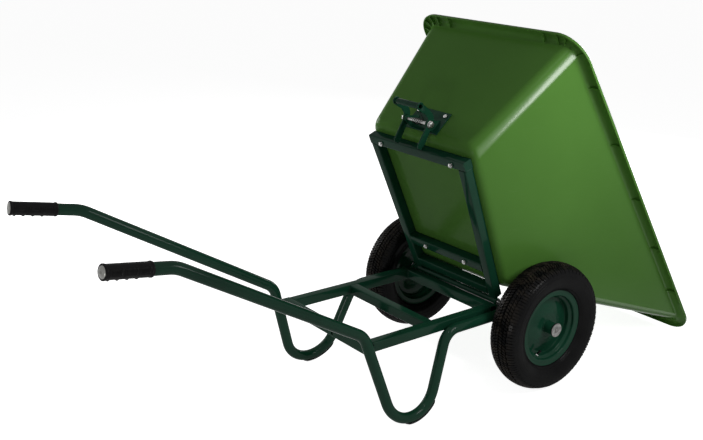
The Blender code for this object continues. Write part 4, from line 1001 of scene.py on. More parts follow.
# %% Inner tubes and valves
for word, side in SIDES:
    at_wheel = wheel_place(side)
    radial = Vector((0, math.cos(VALVE_ANGLE), math.sin(VALVE_ANGLE)))
    foot = Vector((side * VALVE_FOOT_X, 0, 0)) + radial * VALVE_FOOT_REACH
    tip = Vector((side * VALVE_TIP_X, 0, 0)) + radial * VALVE_TIP_REACH
    lean = (tip - foot).to_track_quat("X", "Z").to_matrix().to_4x4()
    at_valve = at_wheel @ Matrix.Translation(foot) @ lean
    reach = (tip - foot).length
    stem = bmesh.new()
    revolve(stem, [(0.0, 0), (0.0, VALVE_RADIUS), (0.0200, VALVE_RADIUS), (reach - 0.0110, VALVE_RADIUS),
                   (reach - 0.0104, VALVE_RADIUS - 0.0005), (reach - 0.0098, VALVE_RADIUS),
                   (reach - 0.0010, VALVE_RADIUS), (reach, VALVE_RADIUS - 0.0012), (reach, 0)],
            32, closed=False)
    bmesh.ops.transform(stem, matrix=at_wheel.inverted() @ at_valve, verts=stem.verts)
    revolve(stem, list(INNER_TUBE) + mirrored(INNER_TUBE), 72, side)
    carry(piece(f"inner_tube_valve_{word}", stem, GRIP_RUBBER, at_wheel), f"wheel_{word}", "grip_rubber",
          f"inner_tube_{word}")
    carry(turned(f"valve_metal_{word}", VALVE_NUT, 32, ZINC, at_valve), f"wheel_{word}", "zinc_steel")
print("valves fitted")

# %% [markdown]
# ## The tray's tipping frame
# Under the tray, two side members splay toward a rear tube whose ends are closed, with two cross
# tubes between them and a round barrel at the front that turns on the rod. They are the same
# square tube as the chassis.

# %% Tipping frame
FRAME_REAR_U = 0.5060
FRAME_HALF_REAR = 0.2117
FRAME_HALF_FRONT = 0.1865
FRAME_BOTTOM_W = -0.0020
MEMBER_W = FRAME_BOTTOM_W + BAR / 2
CROSS_U = 0.1185
FRONT_U = 0.0300
BARREL_RADIUS = 0.0092
BARREL_BORE = 0.0052
BARREL_HALF = 0.1887
ROD_RADIUS = 0.0048
ROD_HALF = 0.2053
ROD_CHAMFER = 0.0010


def member_half(u):
    """Outer face of a side member, which splays towards the rear."""
    return FRAME_HALF_FRONT + (FRAME_HALF_REAR - FRAME_HALF_FRONT) * u / FRAME_REAR_U


def inside_half(u):
    """Half the clear width between the side members, for a tube whose middle is at u."""
    return member_half(u - BAR / 2) - BAR - CLEAR


for name, node, u, half in (("tray_tube_rear", "tray_rear_tube", FRAME_REAR_U - BAR / 2, FRAME_HALF_REAR),
                            ("tray_tube_cross", "tray_cross_member", CROSS_U, inside_half(CROSS_U)),
                            ("tray_tube_front", "tray_front_member", FRONT_U, inside_half(FRONT_U))):
    tube = square_tube(name, (-half, -u, MEMBER_W), (half, -u, MEMBER_W), (0, 1, 0), TRAY,
                       open_ends=name != "tray_tube_rear")
    carry(tube, "tray", "frame_paint", node)
for word, side in SIDES:
    member = bmesh.new()
    loops = []
    for outline in (square(BAR, BAR_REACH), square(BAR - 2 * BAR_WALL, BAR_REACH - BAR_WALL)):
        pair = []
        for u in (BARREL_RADIUS + CLEAR, FRAME_REAR_U - BAR - CLEAR):
            middle = side * (member_half(u) - BAR / 2)
            pair.append([member.verts.new((middle + a, -u, MEMBER_W + b)) for a, b in outline])
        loops += pair if not loops else pair[::-1]
    bridge(member, loops, True)
    carry(piece(f"tray_member_{word}", member, FRAME_PAINT, TRAY), "tray", "frame_paint",
          f"tray_side_member_{word}")

tube = [(-BARREL_HALF, BARREL_BORE), (-BARREL_HALF, BARREL_RADIUS), (BARREL_HALF, BARREL_RADIUS),
        (BARREL_HALF, BARREL_BORE)]
barrel = turned("tipping_barrel", softened(tube, 0.0006, 3), 48, FRAME_PAINT, TRAY)
carry(barrel, "tray", "frame_paint", "hinge_barrel")
half_rod = [(ROD_HALF, 0), (ROD_HALF, ROD_RADIUS - ROD_CHAMFER), (ROD_HALF - ROD_CHAMFER, ROD_RADIUS)]
rod_profile = [(-x, r) for x, r in half_rod] + half_rod[::-1]
rod = turned("tipping_rod", rod_profile, 32, ZINC, Matrix.Translation(HINGE), closed=False)
carry(rod, "chassis", "zinc_steel", "hinge_rod")
print("tipping frame ready")

# %% [markdown]
# ## The tray
# The tray is one thin wall pressed over a form. Its floor, walls and rim are rings of points: a
# rounded outline at each height, with a parabola of rings where the wall turns out of the floor
# and again where it turns over into the rim. Solidify then gives the sheet its 4 mm.

# %% Tray shell
TRAY_WALL = 0.0040
FLOOR_W = FRAME_BOTTOM_W + BAR + CLEAR
FLOOR_FRONT = (0.0380, 0.2100, FLOOR_W)
FLOOR_REAR = (0.5385, 0.2290, FLOOR_W)
RIM_FRONT_U, RIM_FRONT_W, RIM_HALF_FRONT = -0.5500, 0.6640, 0.3520
RIM_REAR_U, RIM_REAR_W, RIM_HALF_REAR = 0.7150, 0.4100, 0.3440
RIM_OVERHANG = 0.0370
RIM_SKIRT = 0.0090
RIM_ROUND = 0.0052
FLOOR_CORNER, WALL_CORNER, RIM_CORNER = 0.0450, 0.0420, 0.0880
FLOOR_FILLET, RIM_FILLET = 0.0260, 0.0180
CORNER_STEPS = 14
SIDE_STEPS = 6


def rim_underside(u):
    share = (u - RIM_FRONT_U) / (RIM_REAR_U - RIM_FRONT_U)
    return RIM_FRONT_W + (RIM_REAR_W - RIM_FRONT_W) * share - TRAY_WALL


def rear_wall_u(w):
    top_u = RIM_REAR_U - RIM_OVERHANG
    share = (w - FLOOR_W) / (rim_underside(top_u) - FLOOR_W)
    return FLOOR_REAR[0] + (top_u - FLOOR_REAR[0]) * share


def outline(front, rear, inset, corner):
    """A rounded outline seen from above. front and rear are (u, half width, w)."""
    corners = [Vector((front[1] - inset, front[0] + inset)), Vector((rear[1] - inset, rear[0] - inset)),
               Vector((inset - rear[1], rear[0] - inset)), Vector((inset - front[1], front[0] + inset))]
    points = []
    for index, point in enumerate(corners):
        following = corners[(index + 1) % 4]
        back, ahead, half, centre = rounding(corners[index - 1], point, following, corner)
        reach = corner / math.tan(half)
        start, end = point + back * reach, point + ahead * reach
        for i in range(CORNER_STEPS + 1):
            spoke = (start - centre).lerp(end - centre, i / CORNER_STEPS).normalized() * corner
            points.append(centre + spoke)
        last = following - ahead * corner
        for i in range(1, SIDE_STEPS):
            points.append(end.lerp(last, i / SIDE_STEPS))
    rise = (rear[2] - front[2]) / (rear[0] - front[0])
    return [Vector((p.x, -p.y, front[2] + (p.y - front[0]) * rise)) for p in points]


def blend(first, second, share):
    return [a.lerp(b, share) for a, b in zip(first, second)]


def along(first, second, distance):
    return [a + (b - a).normalized() * distance for a, b in zip(first, second)]


def bends(first, corner, last, count):
    """Rings on the parabola from first to last whose corner is given, ends left out."""
    return [[parabola(a, b, c, i / count) for a, b, c in zip(first, corner, last)]
            for i in range(1, count)]


rim_front = (RIM_FRONT_U, RIM_HALF_FRONT, rim_underside(RIM_FRONT_U))
rim_rear = (RIM_REAR_U, RIM_HALF_REAR, rim_underside(RIM_REAR_U))
floor_edge = outline(FLOOR_FRONT, FLOOR_REAR, 0.0, FLOOR_CORNER)
floor_inner = outline(FLOOR_FRONT, FLOOR_REAR, FLOOR_FILLET, FLOOR_CORNER - FLOOR_FILLET * 0.7)
wall_top = outline(rim_front, rim_rear, RIM_OVERHANG, WALL_CORNER)
rim_edge = outline(rim_front, rim_rear, TRAY_WALL, RIM_CORNER)
skirt = [p - Vector((0, 0, RIM_SKIRT)) for p in rim_edge]
wall_foot = along(floor_edge, wall_top, FLOOR_FILLET)
wall_head = along(wall_top, floor_edge, RIM_FILLET)
flange_root = along(wall_top, rim_edge, RIM_FILLET)
edge_start = along(rim_edge, flange_root, RIM_ROUND)
edge_end = along(rim_edge, skirt, RIM_ROUND)
rings = [floor_inner, *bends(floor_inner, floor_edge, wall_foot, 7), wall_foot,
         *[blend(wall_foot, wall_head, i / 6) for i in range(1, 6)], wall_head,
         *bends(wall_head, wall_top, flange_root, 6), flange_root, blend(flange_root, edge_start, 0.5),
         edge_start, *bends(edge_start, rim_edge, edge_end, 5), edge_end, skirt]

sheet = bmesh.new()
loops = [[sheet.verts.new(point) for point in ring] for ring in rings]
sheet.faces.new(loops[0])
bridge(sheet, loops, False)
shell = piece("tray_shell", sheet, TRAY_PLASTIC, TRAY, math.radians(60))
floor_face = max(shell.data.polygons, key=lambda face: len(face.vertices))
outward = TRAY.to_3x3() @ Vector((0, 0, -1))
if floor_face.normal.dot(outward) < 0:
    shell.data.flip_normals()
wall = shell.modifiers.new("wall", "SOLIDIFY")
wall.thickness = TRAY_WALL
wall.offset = -1
wall.use_even_offset = True
applied(shell)
# Painted highlight band: 1 on the upright corners where the normal turns 1 to 40 degrees from the side wall,
# none where it faces down.
painted_highlight_band = shell.data.attributes.new(PAINTED_HIGHLIGHT_ATTRIBUTE, "FLOAT", "POINT")
level = TRAY.to_3x3().inverted()
for item, vertex in zip(painted_highlight_band.data, shell.data.vertices):
    normal = level @ vertex.normal
    angle = math.degrees(math.atan2(abs(normal.y), abs(normal.x)))
    item.value = within(angle, 1, 40, 9) * (1 - ease(-normal.z, 0.42, 0.58))
carry(shell, "tray", "tray_plastic", "tray")
print("tray shell", len(shell.data.polygons), "faces")

# %% [markdown]
# ## Ribs under the rim
# Thin upright ribs tie the rim's skirt to the wall, close together at the corners and far apart
# on the sides. One rib is drawn, and Geometry Nodes set it on points that carry two directions of
# their own: up, square to the rim, and facing, out of the wall.

# %% Rib and fastener placing
def placing_tree():
    """Sets an object on points, turned by the points' own up and facing directions."""
    tree, given = geometry_tree("set on points", ("Pattern", "NodeSocketObject"),
                                ("Size", "NodeSocketFloat"), ("Paint", "NodeSocketMaterial"))
    pattern = step(tree, "GeometryNodeObjectInfo", {"Object": given["Pattern"]}).outputs["Geometry"]
    turn = None
    for title, axis, pivot in (("up", "Z", "AUTO"), ("facing", "X", "Z")):
        named = step(tree, "GeometryNodeInputNamedAttribute", {"Name": title}, data_type="FLOAT_VECTOR")
        inputs = {"Vector": named.outputs["Attribute"]}
        if turn is not None:
            inputs["Rotation"] = turn
        turn = step(tree, "FunctionNodeAlignRotationToVector", inputs, axis=axis,
                    pivot_axis=pivot).outputs["Rotation"]
    placed = step(tree, "GeometryNodeInstanceOnPoints",
                  {"Points": given["Geometry"], "Instance": pattern, "Rotation": turn,
                   "Scale": given["Size"]})
    close_tree(tree, placed.outputs["Instances"], given["Paint"])
    return tree


SET_ON_POINTS = placing_tree()


def set_on_points(name, pattern, places, paint, place, size=1.0):
    """One mesh of copies of a pattern. Each place is (point, up, facing) before its matrix."""
    turn = place.to_3x3()
    mesh = bpy.data.meshes.new(name)
    mesh.from_pydata([place @ Vector(given[0]) for given in places], [], [])
    for title, index in (("up", 1), ("facing", 2)):
        directions = mesh.attributes.new(title, "FLOAT_VECTOR", "POINT")
        for item, given in zip(directions.data, places):
            item.vector = (turn @ Vector(given[index])).normalized()
    return grow(linked(name, mesh), SET_ON_POINTS, Pattern=pattern, Size=size, Paint=paint)


RIB_HALF_THICKNESS = 0.00125
REAR_RIBS_X = (-0.248, -0.196, 0.200, 0.252)
FRONT_RIBS_X = (-0.19, -0.07, 0.07, 0.19)
SIDE_RIBS_U = (0.531, 0.313, 0.086, -0.134, -0.340)
CORNER_RIBS_DEGREES = (22, 45, 68)


def rib_pattern():
    """X is outward with the rim's edge at 0, Z is square to the rim and its underside at 0."""
    side_view = [(-0.0005, 0.0012), (-0.0160, 0.0012), (-0.0245, 0.0000), (-0.0310, -0.0040),
                 (-0.0346, -0.0120), (-0.0230, -0.0085), (-0.0005, -0.0075)]
    work = bmesh.new()
    faces_y = (-RIB_HALF_THICKNESS, RIB_HALF_THICKNESS)
    loops = [[work.verts.new((x, y, z)) for x, z in side_view] for y in faces_y]
    capped(work, loops)
    return piece("rib_pattern", work, None, UNMOVED)


rise = (RIM_REAR_W - RIM_FRONT_W) / (RIM_REAR_U - RIM_FRONT_U)
rim_up = Vector((0, rise, 1)).normalized()


def rim_point(x, u):
    return Vector((x, -u, rim_underside(u)))


rib_places = []
rear_edge, front_edge = RIM_REAR_U - TRAY_WALL, RIM_FRONT_U + TRAY_WALL
side_edge = RIM_HALF_REAR - TRAY_WALL
half_growth = (RIM_HALF_REAR - RIM_HALF_FRONT) / (RIM_REAR_U - RIM_FRONT_U)
for x in REAR_RIBS_X:
    rib_places.append((rim_point(x, rear_edge), rim_up, Vector((0, -1, -rise))))
for x in FRONT_RIBS_X:
    rib_places.append((rim_point(x, front_edge), rim_up, Vector((0, 1, rise))))
for side in (-1, 1):
    for u in SIDE_RIBS_U:
        x = side_edge + half_growth * (u - RIM_REAR_U)
        rib_places.append((rim_point(side * x, u), rim_up, Vector((side, 0, 0))))
    for degrees in CORNER_RIBS_DEGREES:
        angle = math.radians(degrees)
        out = Vector((side * math.cos(angle), -math.sin(angle), 0))
        centre = Vector((side * (side_edge - RIM_CORNER), rear_edge - RIM_CORNER))
        edge = centre + Vector((out.x, -out.y)) * RIM_CORNER
        rib_places.append((rim_point(edge.x, edge.y), rim_up, out - rim_up * out.dot(rim_up)))
rib = rib_pattern()
carry(set_on_points("rim_ribs", rib, rib_places, TRAY_PLASTIC, TRAY), "tray", "tray_plastic")
bpy.data.objects.remove(rib, do_unlink=True)
print("ribs under the rim:", len(rib_places))

# %% [markdown]
# ## Bolts and nuts
# Hexagon heads have chamfered corners, and the bolt's end stands a few threads beyond its nut. A
# nut is a stack of rings: hexagons at the bottom, a circle on top, then the thread's small ridges.
# The placing tree sets copies of it wherever the frame, the plate or the hinge has a bolt.

# %% Fastener patterns
FASTENER_SIDES = 36


def hexagon(angle, corner_radius):
    """Radius of a hexagon at an angle; its corners lie on X."""
    sixth = math.pi / 3
    return corner_radius * math.cos(sixth / 2) / math.cos(angle % sixth - sixth / 2)


def fastener(name, corner_radius, height, shank, beyond=0.0, below=0.0, hexed=True, washer=0.0):
    """Z points away from the seat. beyond is the bolt's end past its nut, below its shank."""
    flat = corner_radius * math.cos(math.pi / 6)
    rings = []
    if below:
        rings += [(-below, shank, False), (0.0, shank, False)]
    base = 0.0
    if washer:
        rings += [(0.0, washer - 0.0004, False), (0.0004, washer, False), (0.0012, washer, False),
                  (0.0016, washer - 0.0004, False)]
        base = 0.0016
    if hexed:
        rings += [(base, corner_radius, True), (base + height - 0.0012, corner_radius, True),
                  (base + height - 0.0004, flat * 1.05, "cut"), (base + height, flat * 0.96, False)]
    else:
        for share in (0.0, 0.25, 0.5, 0.72, 0.88, 0.97):
            angle = share * math.pi / 2
            rings.append((base + height * math.sin(angle), corner_radius * math.cos(angle), False))
    top = base + height
    if beyond:
        rings.append((top, shank, False))
        ridges = max(1, round(beyond / 0.0010))
        for i in range(ridges):
            low = top + beyond * i / ridges
            rings += [(low + 0.0003, shank - 0.0005, False), (low + 0.0007, shank, False)]
        rings.append((top + beyond + 0.0002, shank - 0.0009, False))
    work = bmesh.new()
    loops = []
    for z, radius, kind in rings:
        loop = []
        for i in range(FASTENER_SIDES):
            angle = 2 * math.pi * i / FASTENER_SIDES
            reach = radius
            if kind is True:
                reach = hexagon(angle, radius)
            elif kind == "cut":
                reach = min(hexagon(angle, corner_radius), radius)
            loop.append(work.verts.new((*polar(reach, angle), z)))
        loops.append(loop)
    capped(work, loops)
    return piece(name, work, None, UNMOVED)


# %% Bolts of the tray and its frame
PLATE_STEP = 0.0036
PIVOT_U, PIVOT_W = 0.5755, 0.0410
CHEEK_OUTER_X = 0.0545
TRAY_BOLT_SPOTS = ((0.1560, 0.4876), (0.0885, CROSS_U))
PLATE_BOLT_SPOTS = ((0.0560, 0.1000), (0.0300, 0.0600))
HINGE_NUT_X = 0.1943
floor_top = FLOOR_W + TRAY_WALL + CLEAR
wall_slope = math.atan((rear_wall_u(0.1) - rear_wall_u(0.0)) / 0.1)
out_of_wall = Vector((0, -math.cos(wall_slope), -math.sin(wall_slope)))


def on_plate(x, w, depth):
    return Vector((x, -(rear_wall_u(w) + depth / math.cos(wall_slope)), w))


places = {title: [] for title in ("nut_m8", "head_m8", "head_m6", "nut_m6", "head_pivot", "nut_pivot")}
for x, u in TRAY_BOLT_SPOTS:
    for side in (-1, 1):
        places["nut_m8"].append(((side * x, -u, FRAME_BOTTOM_W - CLEAR), (0, 0, -1), (1, 0, 0)))
        places["head_m8"].append(((side * x, -u, floor_top), (0, 0, 1), (1, 0, 0)))
for x, w in PLATE_BOLT_SPOTS:
    for side in (-1, 1):
        places["head_m6"].append((on_plate(side * x, w, PLATE_STEP), out_of_wall, (1, 0, 0)))
        places["nut_m6"].append((on_plate(side * x, w, -TRAY_WALL - CLEAR), -out_of_wall, (1, 0, 0)))
seat_x = CHEEK_OUTER_X + CLEAR
places["head_pivot"].append(((seat_x, -PIVOT_U, PIVOT_W), (1, 0, 0), (0, 0, 1)))
places["nut_pivot"].append(((-seat_x, -PIVOT_U, PIVOT_W), (-1, 0, 0), (0, 0, 1)))
patterns = {
    "nut_m8": fastener("nut_m8_pattern", 0.0078, 0.0055, 0.0040, 0.0030, 0.0300),
    "head_m8": fastener("head_m8_pattern", 0.0095, 0.0040, 0.0040, 0.0, 0.0200, hexed=False),
    "head_m6": fastener("head_m6_pattern", 0.0068, 0.0045, 0.0030, 0.0, 0.0060),
    "nut_m6": fastener("nut_m6_pattern", 0.0068, 0.0045, 0.0030, 0.0030, 0.0020),
    "head_pivot": fastener("head_pivot_pattern", 0.0095, 0.0060, 0.0050, 0.0, 0.1080, washer=0.0115),
    "nut_pivot": fastener("nut_pivot_pattern", 0.0095, 0.0070, 0.0050, 0.0045, 0.0, washer=0.0115),
}
stands_for = {
    "nut_m8": [f"tray_bolt_{row}_{word}" for row in ("rear", "front") for word, side in SIDES],
    "head_m6": [f"latch_bolt_{row}_{word}" for row in ("upper", "lower") for word, side in SIDES],
    "head_pivot": ["latch_pivot_bolt"],
    "nut_pivot": ["latch_pivot_nut"],
}
for title, spots in places.items():
    made = set_on_points(f"{title}_set", patterns[title], spots, ZINC, TRAY)
    carry(made, "tray", "zinc_steel", *stands_for.get(title, ()))
hinge_nut = fastener("hinge_nut_pattern", 0.0092, 0.0070, ROD_RADIUS + 0.0002, 0.0008)
spots = [((side * HINGE_NUT_X, HINGE_Y, HINGE_Z), (side, 0, 0), (0, 0, 1)) for side in (-1, 1)]
carry(set_on_points("hinge_nut_set", hinge_nut, spots, ZINC, BARROW), "chassis", "zinc_steel",
      "hinge_nut_left", "hinge_nut_right")
for pattern in [hinge_nut, *patterns.values()]:
    bpy.data.objects.remove(pattern, do_unlink=True)
print("fasteners set:", sum(len(spots) for spots in places.values()) + 2)

# %% [markdown]
# ## Spring, handle bar and weld beads
# A torsion spring on the pivot bolt pulls the latch shut. Its wire and the frame's weld beads are
# the same idea: a round section that follows a path. A geometry tree turns edges into a curve,
# samples it evenly, lets its radius ripple as a weld does, and gives it a skin.

# %% Wire and bead tree
def bead_tree():
    tree, given = geometry_tree("bead along a path", ("Radius", "NodeSocketFloat"),
                                ("Sides", "NodeSocketInt"), ("Spacing", "NodeSocketFloat"),
                                ("Ripple", "NodeSocketFloat"),
                                ("Ripple length", "NodeSocketFloat"), ("Paint", "NodeSocketMaterial"))
    curve = step(tree, "GeometryNodeMeshToCurve", {"Mesh": given["Geometry"]}).outputs[0]
    even = step(tree, "GeometryNodeResampleCurve", {"Curve": curve, "Length": given["Spacing"]},
                mode="LENGTH").outputs[0]
    length = step(tree, "GeometryNodeSplineParameter").outputs["Length"]
    waves = calculate(tree, "DIVIDE", length, given["Ripple length"])
    wave = calculate(tree, "SINE", calculate(tree, "MULTIPLY", waves, 2 * math.pi))
    width = calculate(tree, "MULTIPLY_ADD", wave, given["Ripple"], 1.0)
    sized = step(tree, "GeometryNodeSetCurveRadius", {"Curve": even, "Radius": width}).outputs[0]
    ring = step(tree, "GeometryNodeCurvePrimitiveCircle", {"Resolution": given["Sides"],
                                                           "Radius": given["Radius"]}).outputs[0]
    skin = step(tree, "GeometryNodeCurveToMesh", {"Curve": sized, "Profile Curve": ring, "Fill Caps": True})
    close_tree(tree, skin.outputs[0], given["Paint"])
    return tree


BEAD = bead_tree()


def along_paths(name, paths, paint, place, radius, sides, spacing, ripple=0.0, ripple_length=1.0):
    """One mesh of round beads. Each path is (points, whether it is closed)."""
    points, edges = [], []
    for path, closed in paths:
        first = len(points)
        points += [place @ Vector(p) for p in path]
        edges += [(first + i, first + i + 1) for i in range(len(path) - 1)]
        if closed:
            edges.append((len(points) - 1, first))
    mesh = bpy.data.meshes.new(name)
    mesh.from_pydata(points, edges, [])
    values = {"Radius": radius, "Sides": sides, "Spacing": spacing, "Ripple": ripple,
              "Ripple length": ripple_length, "Paint": paint}
    return grow(linked(name, mesh), BEAD, math.radians(60), **values)


# %% Latch spring and handle bar
SPRING_HALF = 0.0200
SPRING_COIL = 0.0078
SPRING_WIRE = 0.0011
SPRING_TURNS = 5
SPRING_TURN_POINTS = 24
SPRING_REST_W = 0.0200
BAR_U, BAR_W = 0.6430, 0.0260
HANDLE_HALF, HANDLE_RADIUS, HANDLE_BORE = 0.0548, 0.0090, 0.0070
pivot = Vector((0, -PIVOT_U, PIVOT_W))
wire = [on_plate(-SPRING_HALF, PIVOT_W + SPRING_REST_W, 0.0006 + 0.0030 + SPRING_WIRE)]
count = SPRING_TURNS * SPRING_TURN_POINTS
for i in range(count + 1):
    angle = math.pi / 2 - 2 * math.pi * i / SPRING_TURN_POINTS
    wire.append(pivot + Vector((-SPRING_HALF + 2 * SPRING_HALF * i / count, *polar(SPRING_COIL, angle))))
wire.append(Vector((SPRING_HALF, -BAR_U, BAR_W + 0.0104)))
spring = along_paths("spring_wire", [(wire, False)], SPRING_STEEL, TRAY, SPRING_WIRE, 10, 0.0012)
carry(spring, "tray", "zinc_steel", "latch_spring")

tube = [(-HANDLE_HALF, HANDLE_BORE), (-HANDLE_HALF, HANDLE_RADIUS), (HANDLE_HALF, HANDLE_RADIUS),
        (HANDLE_HALF, HANDLE_BORE)]
at_handle = TRAY @ Matrix.Translation((0, -BAR_U, BAR_W))
handle = turned("latch_bar", softened(tube, 0.0006, 3), 40, FRAME_PAINT, at_handle)
carry(handle, "latch", "frame_paint", "latch_handle_bar")
print("spring of", SPRING_TURNS, "turns")

# %% Weld beads
BEAD_RADIUS = 0.0021
BEAD_SIDES = 8
BEAD_SPACING = 0.0011
BEAD_RIPPLE = 0.16
BEAD_RIPPLE_LENGTH = 0.0034
BEAD_STOP = 0.0032
BEAD_LOOK = (BEAD_SIDES, BEAD_SPACING, BEAD_RIPPLE, BEAD_RIPPLE_LENGTH)
LUG_FACES_X = (0.1890, 0.1940)
LUG_WELD_LOW, LUG_WELD_HIGH = 0.2345, 0.2600
BRACKET_HALF_WIDTH = 0.0098
BRACKET_WELD_HALF, BRACKET_WELD_Z = 0.019, 0.2229
BARREL_WELDS_W = (0.0072, 0.0003)
WHEEL_WELDS = ((0.0116, 0.0193), (0.0076, 0.0193), (-0.0006, 0.0922))
WHEEL_BEAD_RADIUS = 0.0016


def bar_bead(x=None, y=None, centre=(0, 0), bare=1):
    """Three sides of a tube's end, in the plane of a given x or y. bare is the side ground flush."""
    half = BAR / 2
    end = bare * (half - BEAD_STOP)
    corners = [(-half, end), (-half, -bare * half), (half, -bare * half), (half, end)]
    points = []
    for a, b in softened(corners, BAR_REACH, 5, closed=False):
        points.append((x, centre[0] + a, centre[1] + b) if y is None else (centre[0] + a, y, centre[1] + b))
    return points, False


chassis_beads = []
for side in (-1, 1):
    for y, x in ((CROSSBAR_REAR_Y, 0.2050), (CROSSBAR_MIDDLE_Y, 0.1749), (CROSSBAR_FRONT_Y, 0.2050)):
        chassis_beads.append(bar_bead(x=side * x, centre=(y + BAR / 2, BAR_Z)))
    for y in (CROSSBAR_REAR_Y + BAR, CROSSBAR_FRONT_Y):
        chassis_beads.append(bar_bead(y=y, centre=(side * (RAIL_OUTER_X - BAR / 2), BAR_Z)))
    for x in LUG_FACES_X:
        root = CROSSBAR_FRONT_Y + BAR + 0.0002
        chassis_beads.append(([(side * x, root, z) for z in (LUG_WELD_LOW, LUG_WELD_HIGH)], False))
    for x in (TUBE_X - BRACKET_HALF_WIDTH, TUBE_X + BRACKET_HALF_WIDTH):
        ends = (-BRACKET_WELD_HALF, BRACKET_WELD_HALF)
        chassis_beads.append(([(side * x, y, BRACKET_WELD_Z) for y in ends], False))
beads = along_paths("chassis_welds", chassis_beads, FRAME_PAINT, BARROW, BEAD_RADIUS, *BEAD_LOOK)
carry(beads, "chassis", "frame_paint")

tray_beads = []
for side in (-1, 1):
    for u in (CROSS_U, FRONT_U):
        tray_beads.append(bar_bead(x=side * inside_half(u), centre=(-u, MEMBER_W), bare=-1))
    rear = FRAME_REAR_U - BAR
    tray_beads.append(bar_bead(y=-rear, centre=(side * (member_half(rear) - BAR / 2), MEMBER_W), bare=-1))
    inner = side * (member_half(0.0095) - BAR)
    outer = side * min(member_half(0.0095), BARREL_HALF) * 0.999
    for w in BARREL_WELDS_W:
        tray_beads.append(([(inner, -0.0088, w), (outer, -0.0088, w)], False))
beads = along_paths("tray_frame_welds", tray_beads, FRAME_PAINT, TRAY, BEAD_RADIUS, *BEAD_LOOK)
carry(beads, "tray", "frame_paint")

for word, side in SIDES:
    rings = []
    for x, r in WHEEL_WELDS:
        turns = [polar(r, math.radians(a)) for a in range(0, 360, 4)]
        ring = [(side * (WHEEL_OFFSET + x), y, AXLE.z + z) for y, z in turns]
        rings.append((ring, True))
    beads = along_paths(f"wheel_welds_{word}", rings, FRAME_PAINT, BARROW, WHEEL_BEAD_RADIUS, *BEAD_LOOK)
    carry(beads, f"wheel_{word}", "frame_paint")
print("weld beads laid:", len(chassis_beads) + len(tray_beads) + 6)

# %% [markdown]
# ## Floor, light and camera
# A photographer's studio: white floor and white surroundings. The world and the floor show white
# to the camera, to glossy rays and to transmission rays, by Light Path, while they light the
# object only at a plain level. The floor still keeps a pale shadow. A soft light stands close on
# the barrow's right, so the side wall is bright and the rear wall stays deep green. Others above,
# behind, ahead and on the left let the barrow be seen from every side.

# %% Floor and world
def seen_directly(tree):
    """1 for rays that should meet a white background."""
    path = step(tree, "ShaderNodeLightPath").outputs
    share = path["Is Camera Ray"]
    for title in ("Is Glossy Ray", "Is Transmission Ray"):
        share = calculate(tree, "MAXIMUM", share, path[title])
    return share


FLOOR_HALF = 30.0
FLOOR_DROP = 0.0008
FLOOR_WHITENESS = 0.92
PAPER_GREY = 0.82
WORLD_LEVEL = 0.058
floor_mesh = bpy.data.meshes.new("studio_floor")
floor_corners = [(x, y, -FLOOR_DROP) for x, y in ((-1, -1), (1, -1), (1, 1), (-1, 1))]
floor_mesh.from_pydata(floor_corners, [], [(0, 1, 2, 3)])
floor_mesh.transform(Matrix.Diagonal((FLOOR_HALF, FLOOR_HALF, 1, 1)))
floor = linked("studio_floor", floor_mesh)
paper = bpy.data.materials.new("studio_paper")
paper.use_nodes = True
tree = paper.node_tree
tree.nodes.clear()
plain = step(tree, "ShaderNodeBsdfDiffuse", {"Color": (PAPER_GREY, PAPER_GREY, PAPER_GREY, 1)}).outputs[0]
share = calculate(tree, "MULTIPLY", seen_directly(tree), FLOOR_WHITENESS)
white = step(tree, "ShaderNodeEmission", {"Color": (1, 1, 1, 1), "Strength": share}).outputs[0]
both = step(tree, "ShaderNodeAddShader", {0: plain, 1: white}).outputs[0]
step(tree, "ShaderNodeOutputMaterial", {"Surface": both})
floor_mesh.materials.append(paper)

world = bpy.data.worlds.new("studio")
world.use_nodes = True
bpy.context.scene.world = world
tree = world.node_tree
tree.nodes.clear()
dim = step(tree, "ShaderNodeBackground", {"Color": (1, 1, 1, 1), "Strength": WORLD_LEVEL}).outputs[0]
bright = step(tree, "ShaderNodeBackground", {"Color": (1, 1, 1, 1), "Strength": 1.0}).outputs[0]
mix = step(tree, "ShaderNodeMixShader", {0: seen_directly(tree), 1: dim, 2: bright}).outputs[0]
step(tree, "ShaderNodeOutputWorld", {"Surface": mix})
print("floor and world white")

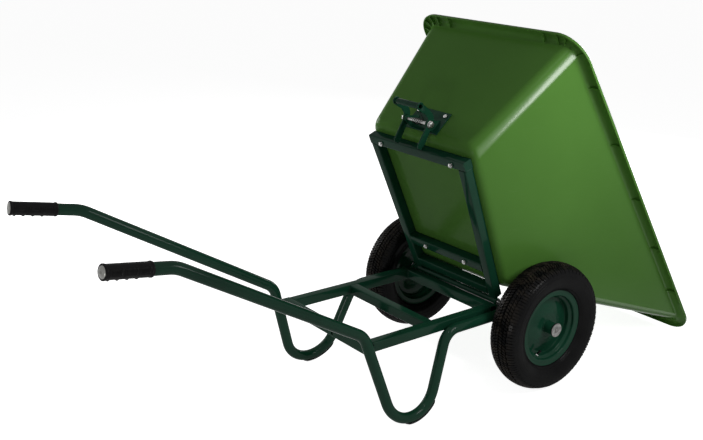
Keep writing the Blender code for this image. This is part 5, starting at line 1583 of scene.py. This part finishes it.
# %% Lamps
def softbox(name, place, aim, level, width, height):
    """A rectangular lamp; level is what it adds to a white matt surface that faces it at its aim."""
    place, aim = Vector(place), Vector(aim)
    away = place - aim
    lamp = bpy.data.lights.new(name, "AREA")
    lamp.shape = "RECTANGLE"
    lamp.size = width
    lamp.size_y = height
    lamp.energy = level * math.pi ** 2 * away.length_squared
    holder = linked(name, lamp)
    holder.location = place
    holder.rotation_euler = away.to_track_quat("Z", "Y").to_euler()


softbox("key_side", (1.14, 0.42, 1.12), (0.33, 0.36, 0.95), 1.12, 0.46, 0.60)
softbox("overhead", (1.15, -0.45, 2.45), (0.30, -0.30, 0.30), 0.07, 0.10, 0.40)
softbox("fill_rear", (0.90, -2.80, 0.35), (0.10, 0.15, 0.60), 0.09, 0.70, 0.40)
softbox("fill_front", (-1.00, 3.60, 1.30), (0.00, 0.60, 0.60), 0.60, 1.20, 1.20)
softbox("fill_left", (-3.00, -0.40, 1.10), (-0.30, 0.00, 0.60), 0.50, 1.20, 1.20)
print("lamps set")

# %% Camera
CAMERA_PLACE = Vector((2.16980, -1.871265, 1.42795))
CAMERA_AHEAD = Vector((-0.75149, 0.58535, -0.30434)).normalized()
CAMERA_ROLL = math.radians(1.228)
CAMERA_LENS = 51.65
CAMERA_SENSOR = 36.0
level_right = CAMERA_AHEAD.cross(Vector((0, 0, 1))).normalized()
level_up = level_right.cross(CAMERA_AHEAD)
right = level_right * math.cos(CAMERA_ROLL) + level_up * math.sin(CAMERA_ROLL)
up = level_up * math.cos(CAMERA_ROLL) - level_right * math.sin(CAMERA_ROLL)
camera_data = bpy.data.cameras.new("photo_camera")
camera_data.lens = CAMERA_LENS
camera_data.sensor_width = CAMERA_SENSOR
camera_data.sensor_fit = "HORIZONTAL"
camera = linked("photo_camera", camera_data)
camera_turn = Matrix((right, up, -CAMERA_AHEAD)).transposed().to_4x4()
camera.matrix_world = Matrix.Translation(CAMERA_PLACE) @ camera_turn
bpy.context.scene.camera = camera
bpy.context.scene.view_settings.view_transform = "Standard"
print("camera at", CAMERA_PLACE[:])

# %% Update the scene
bpy.context.view_layer.update()
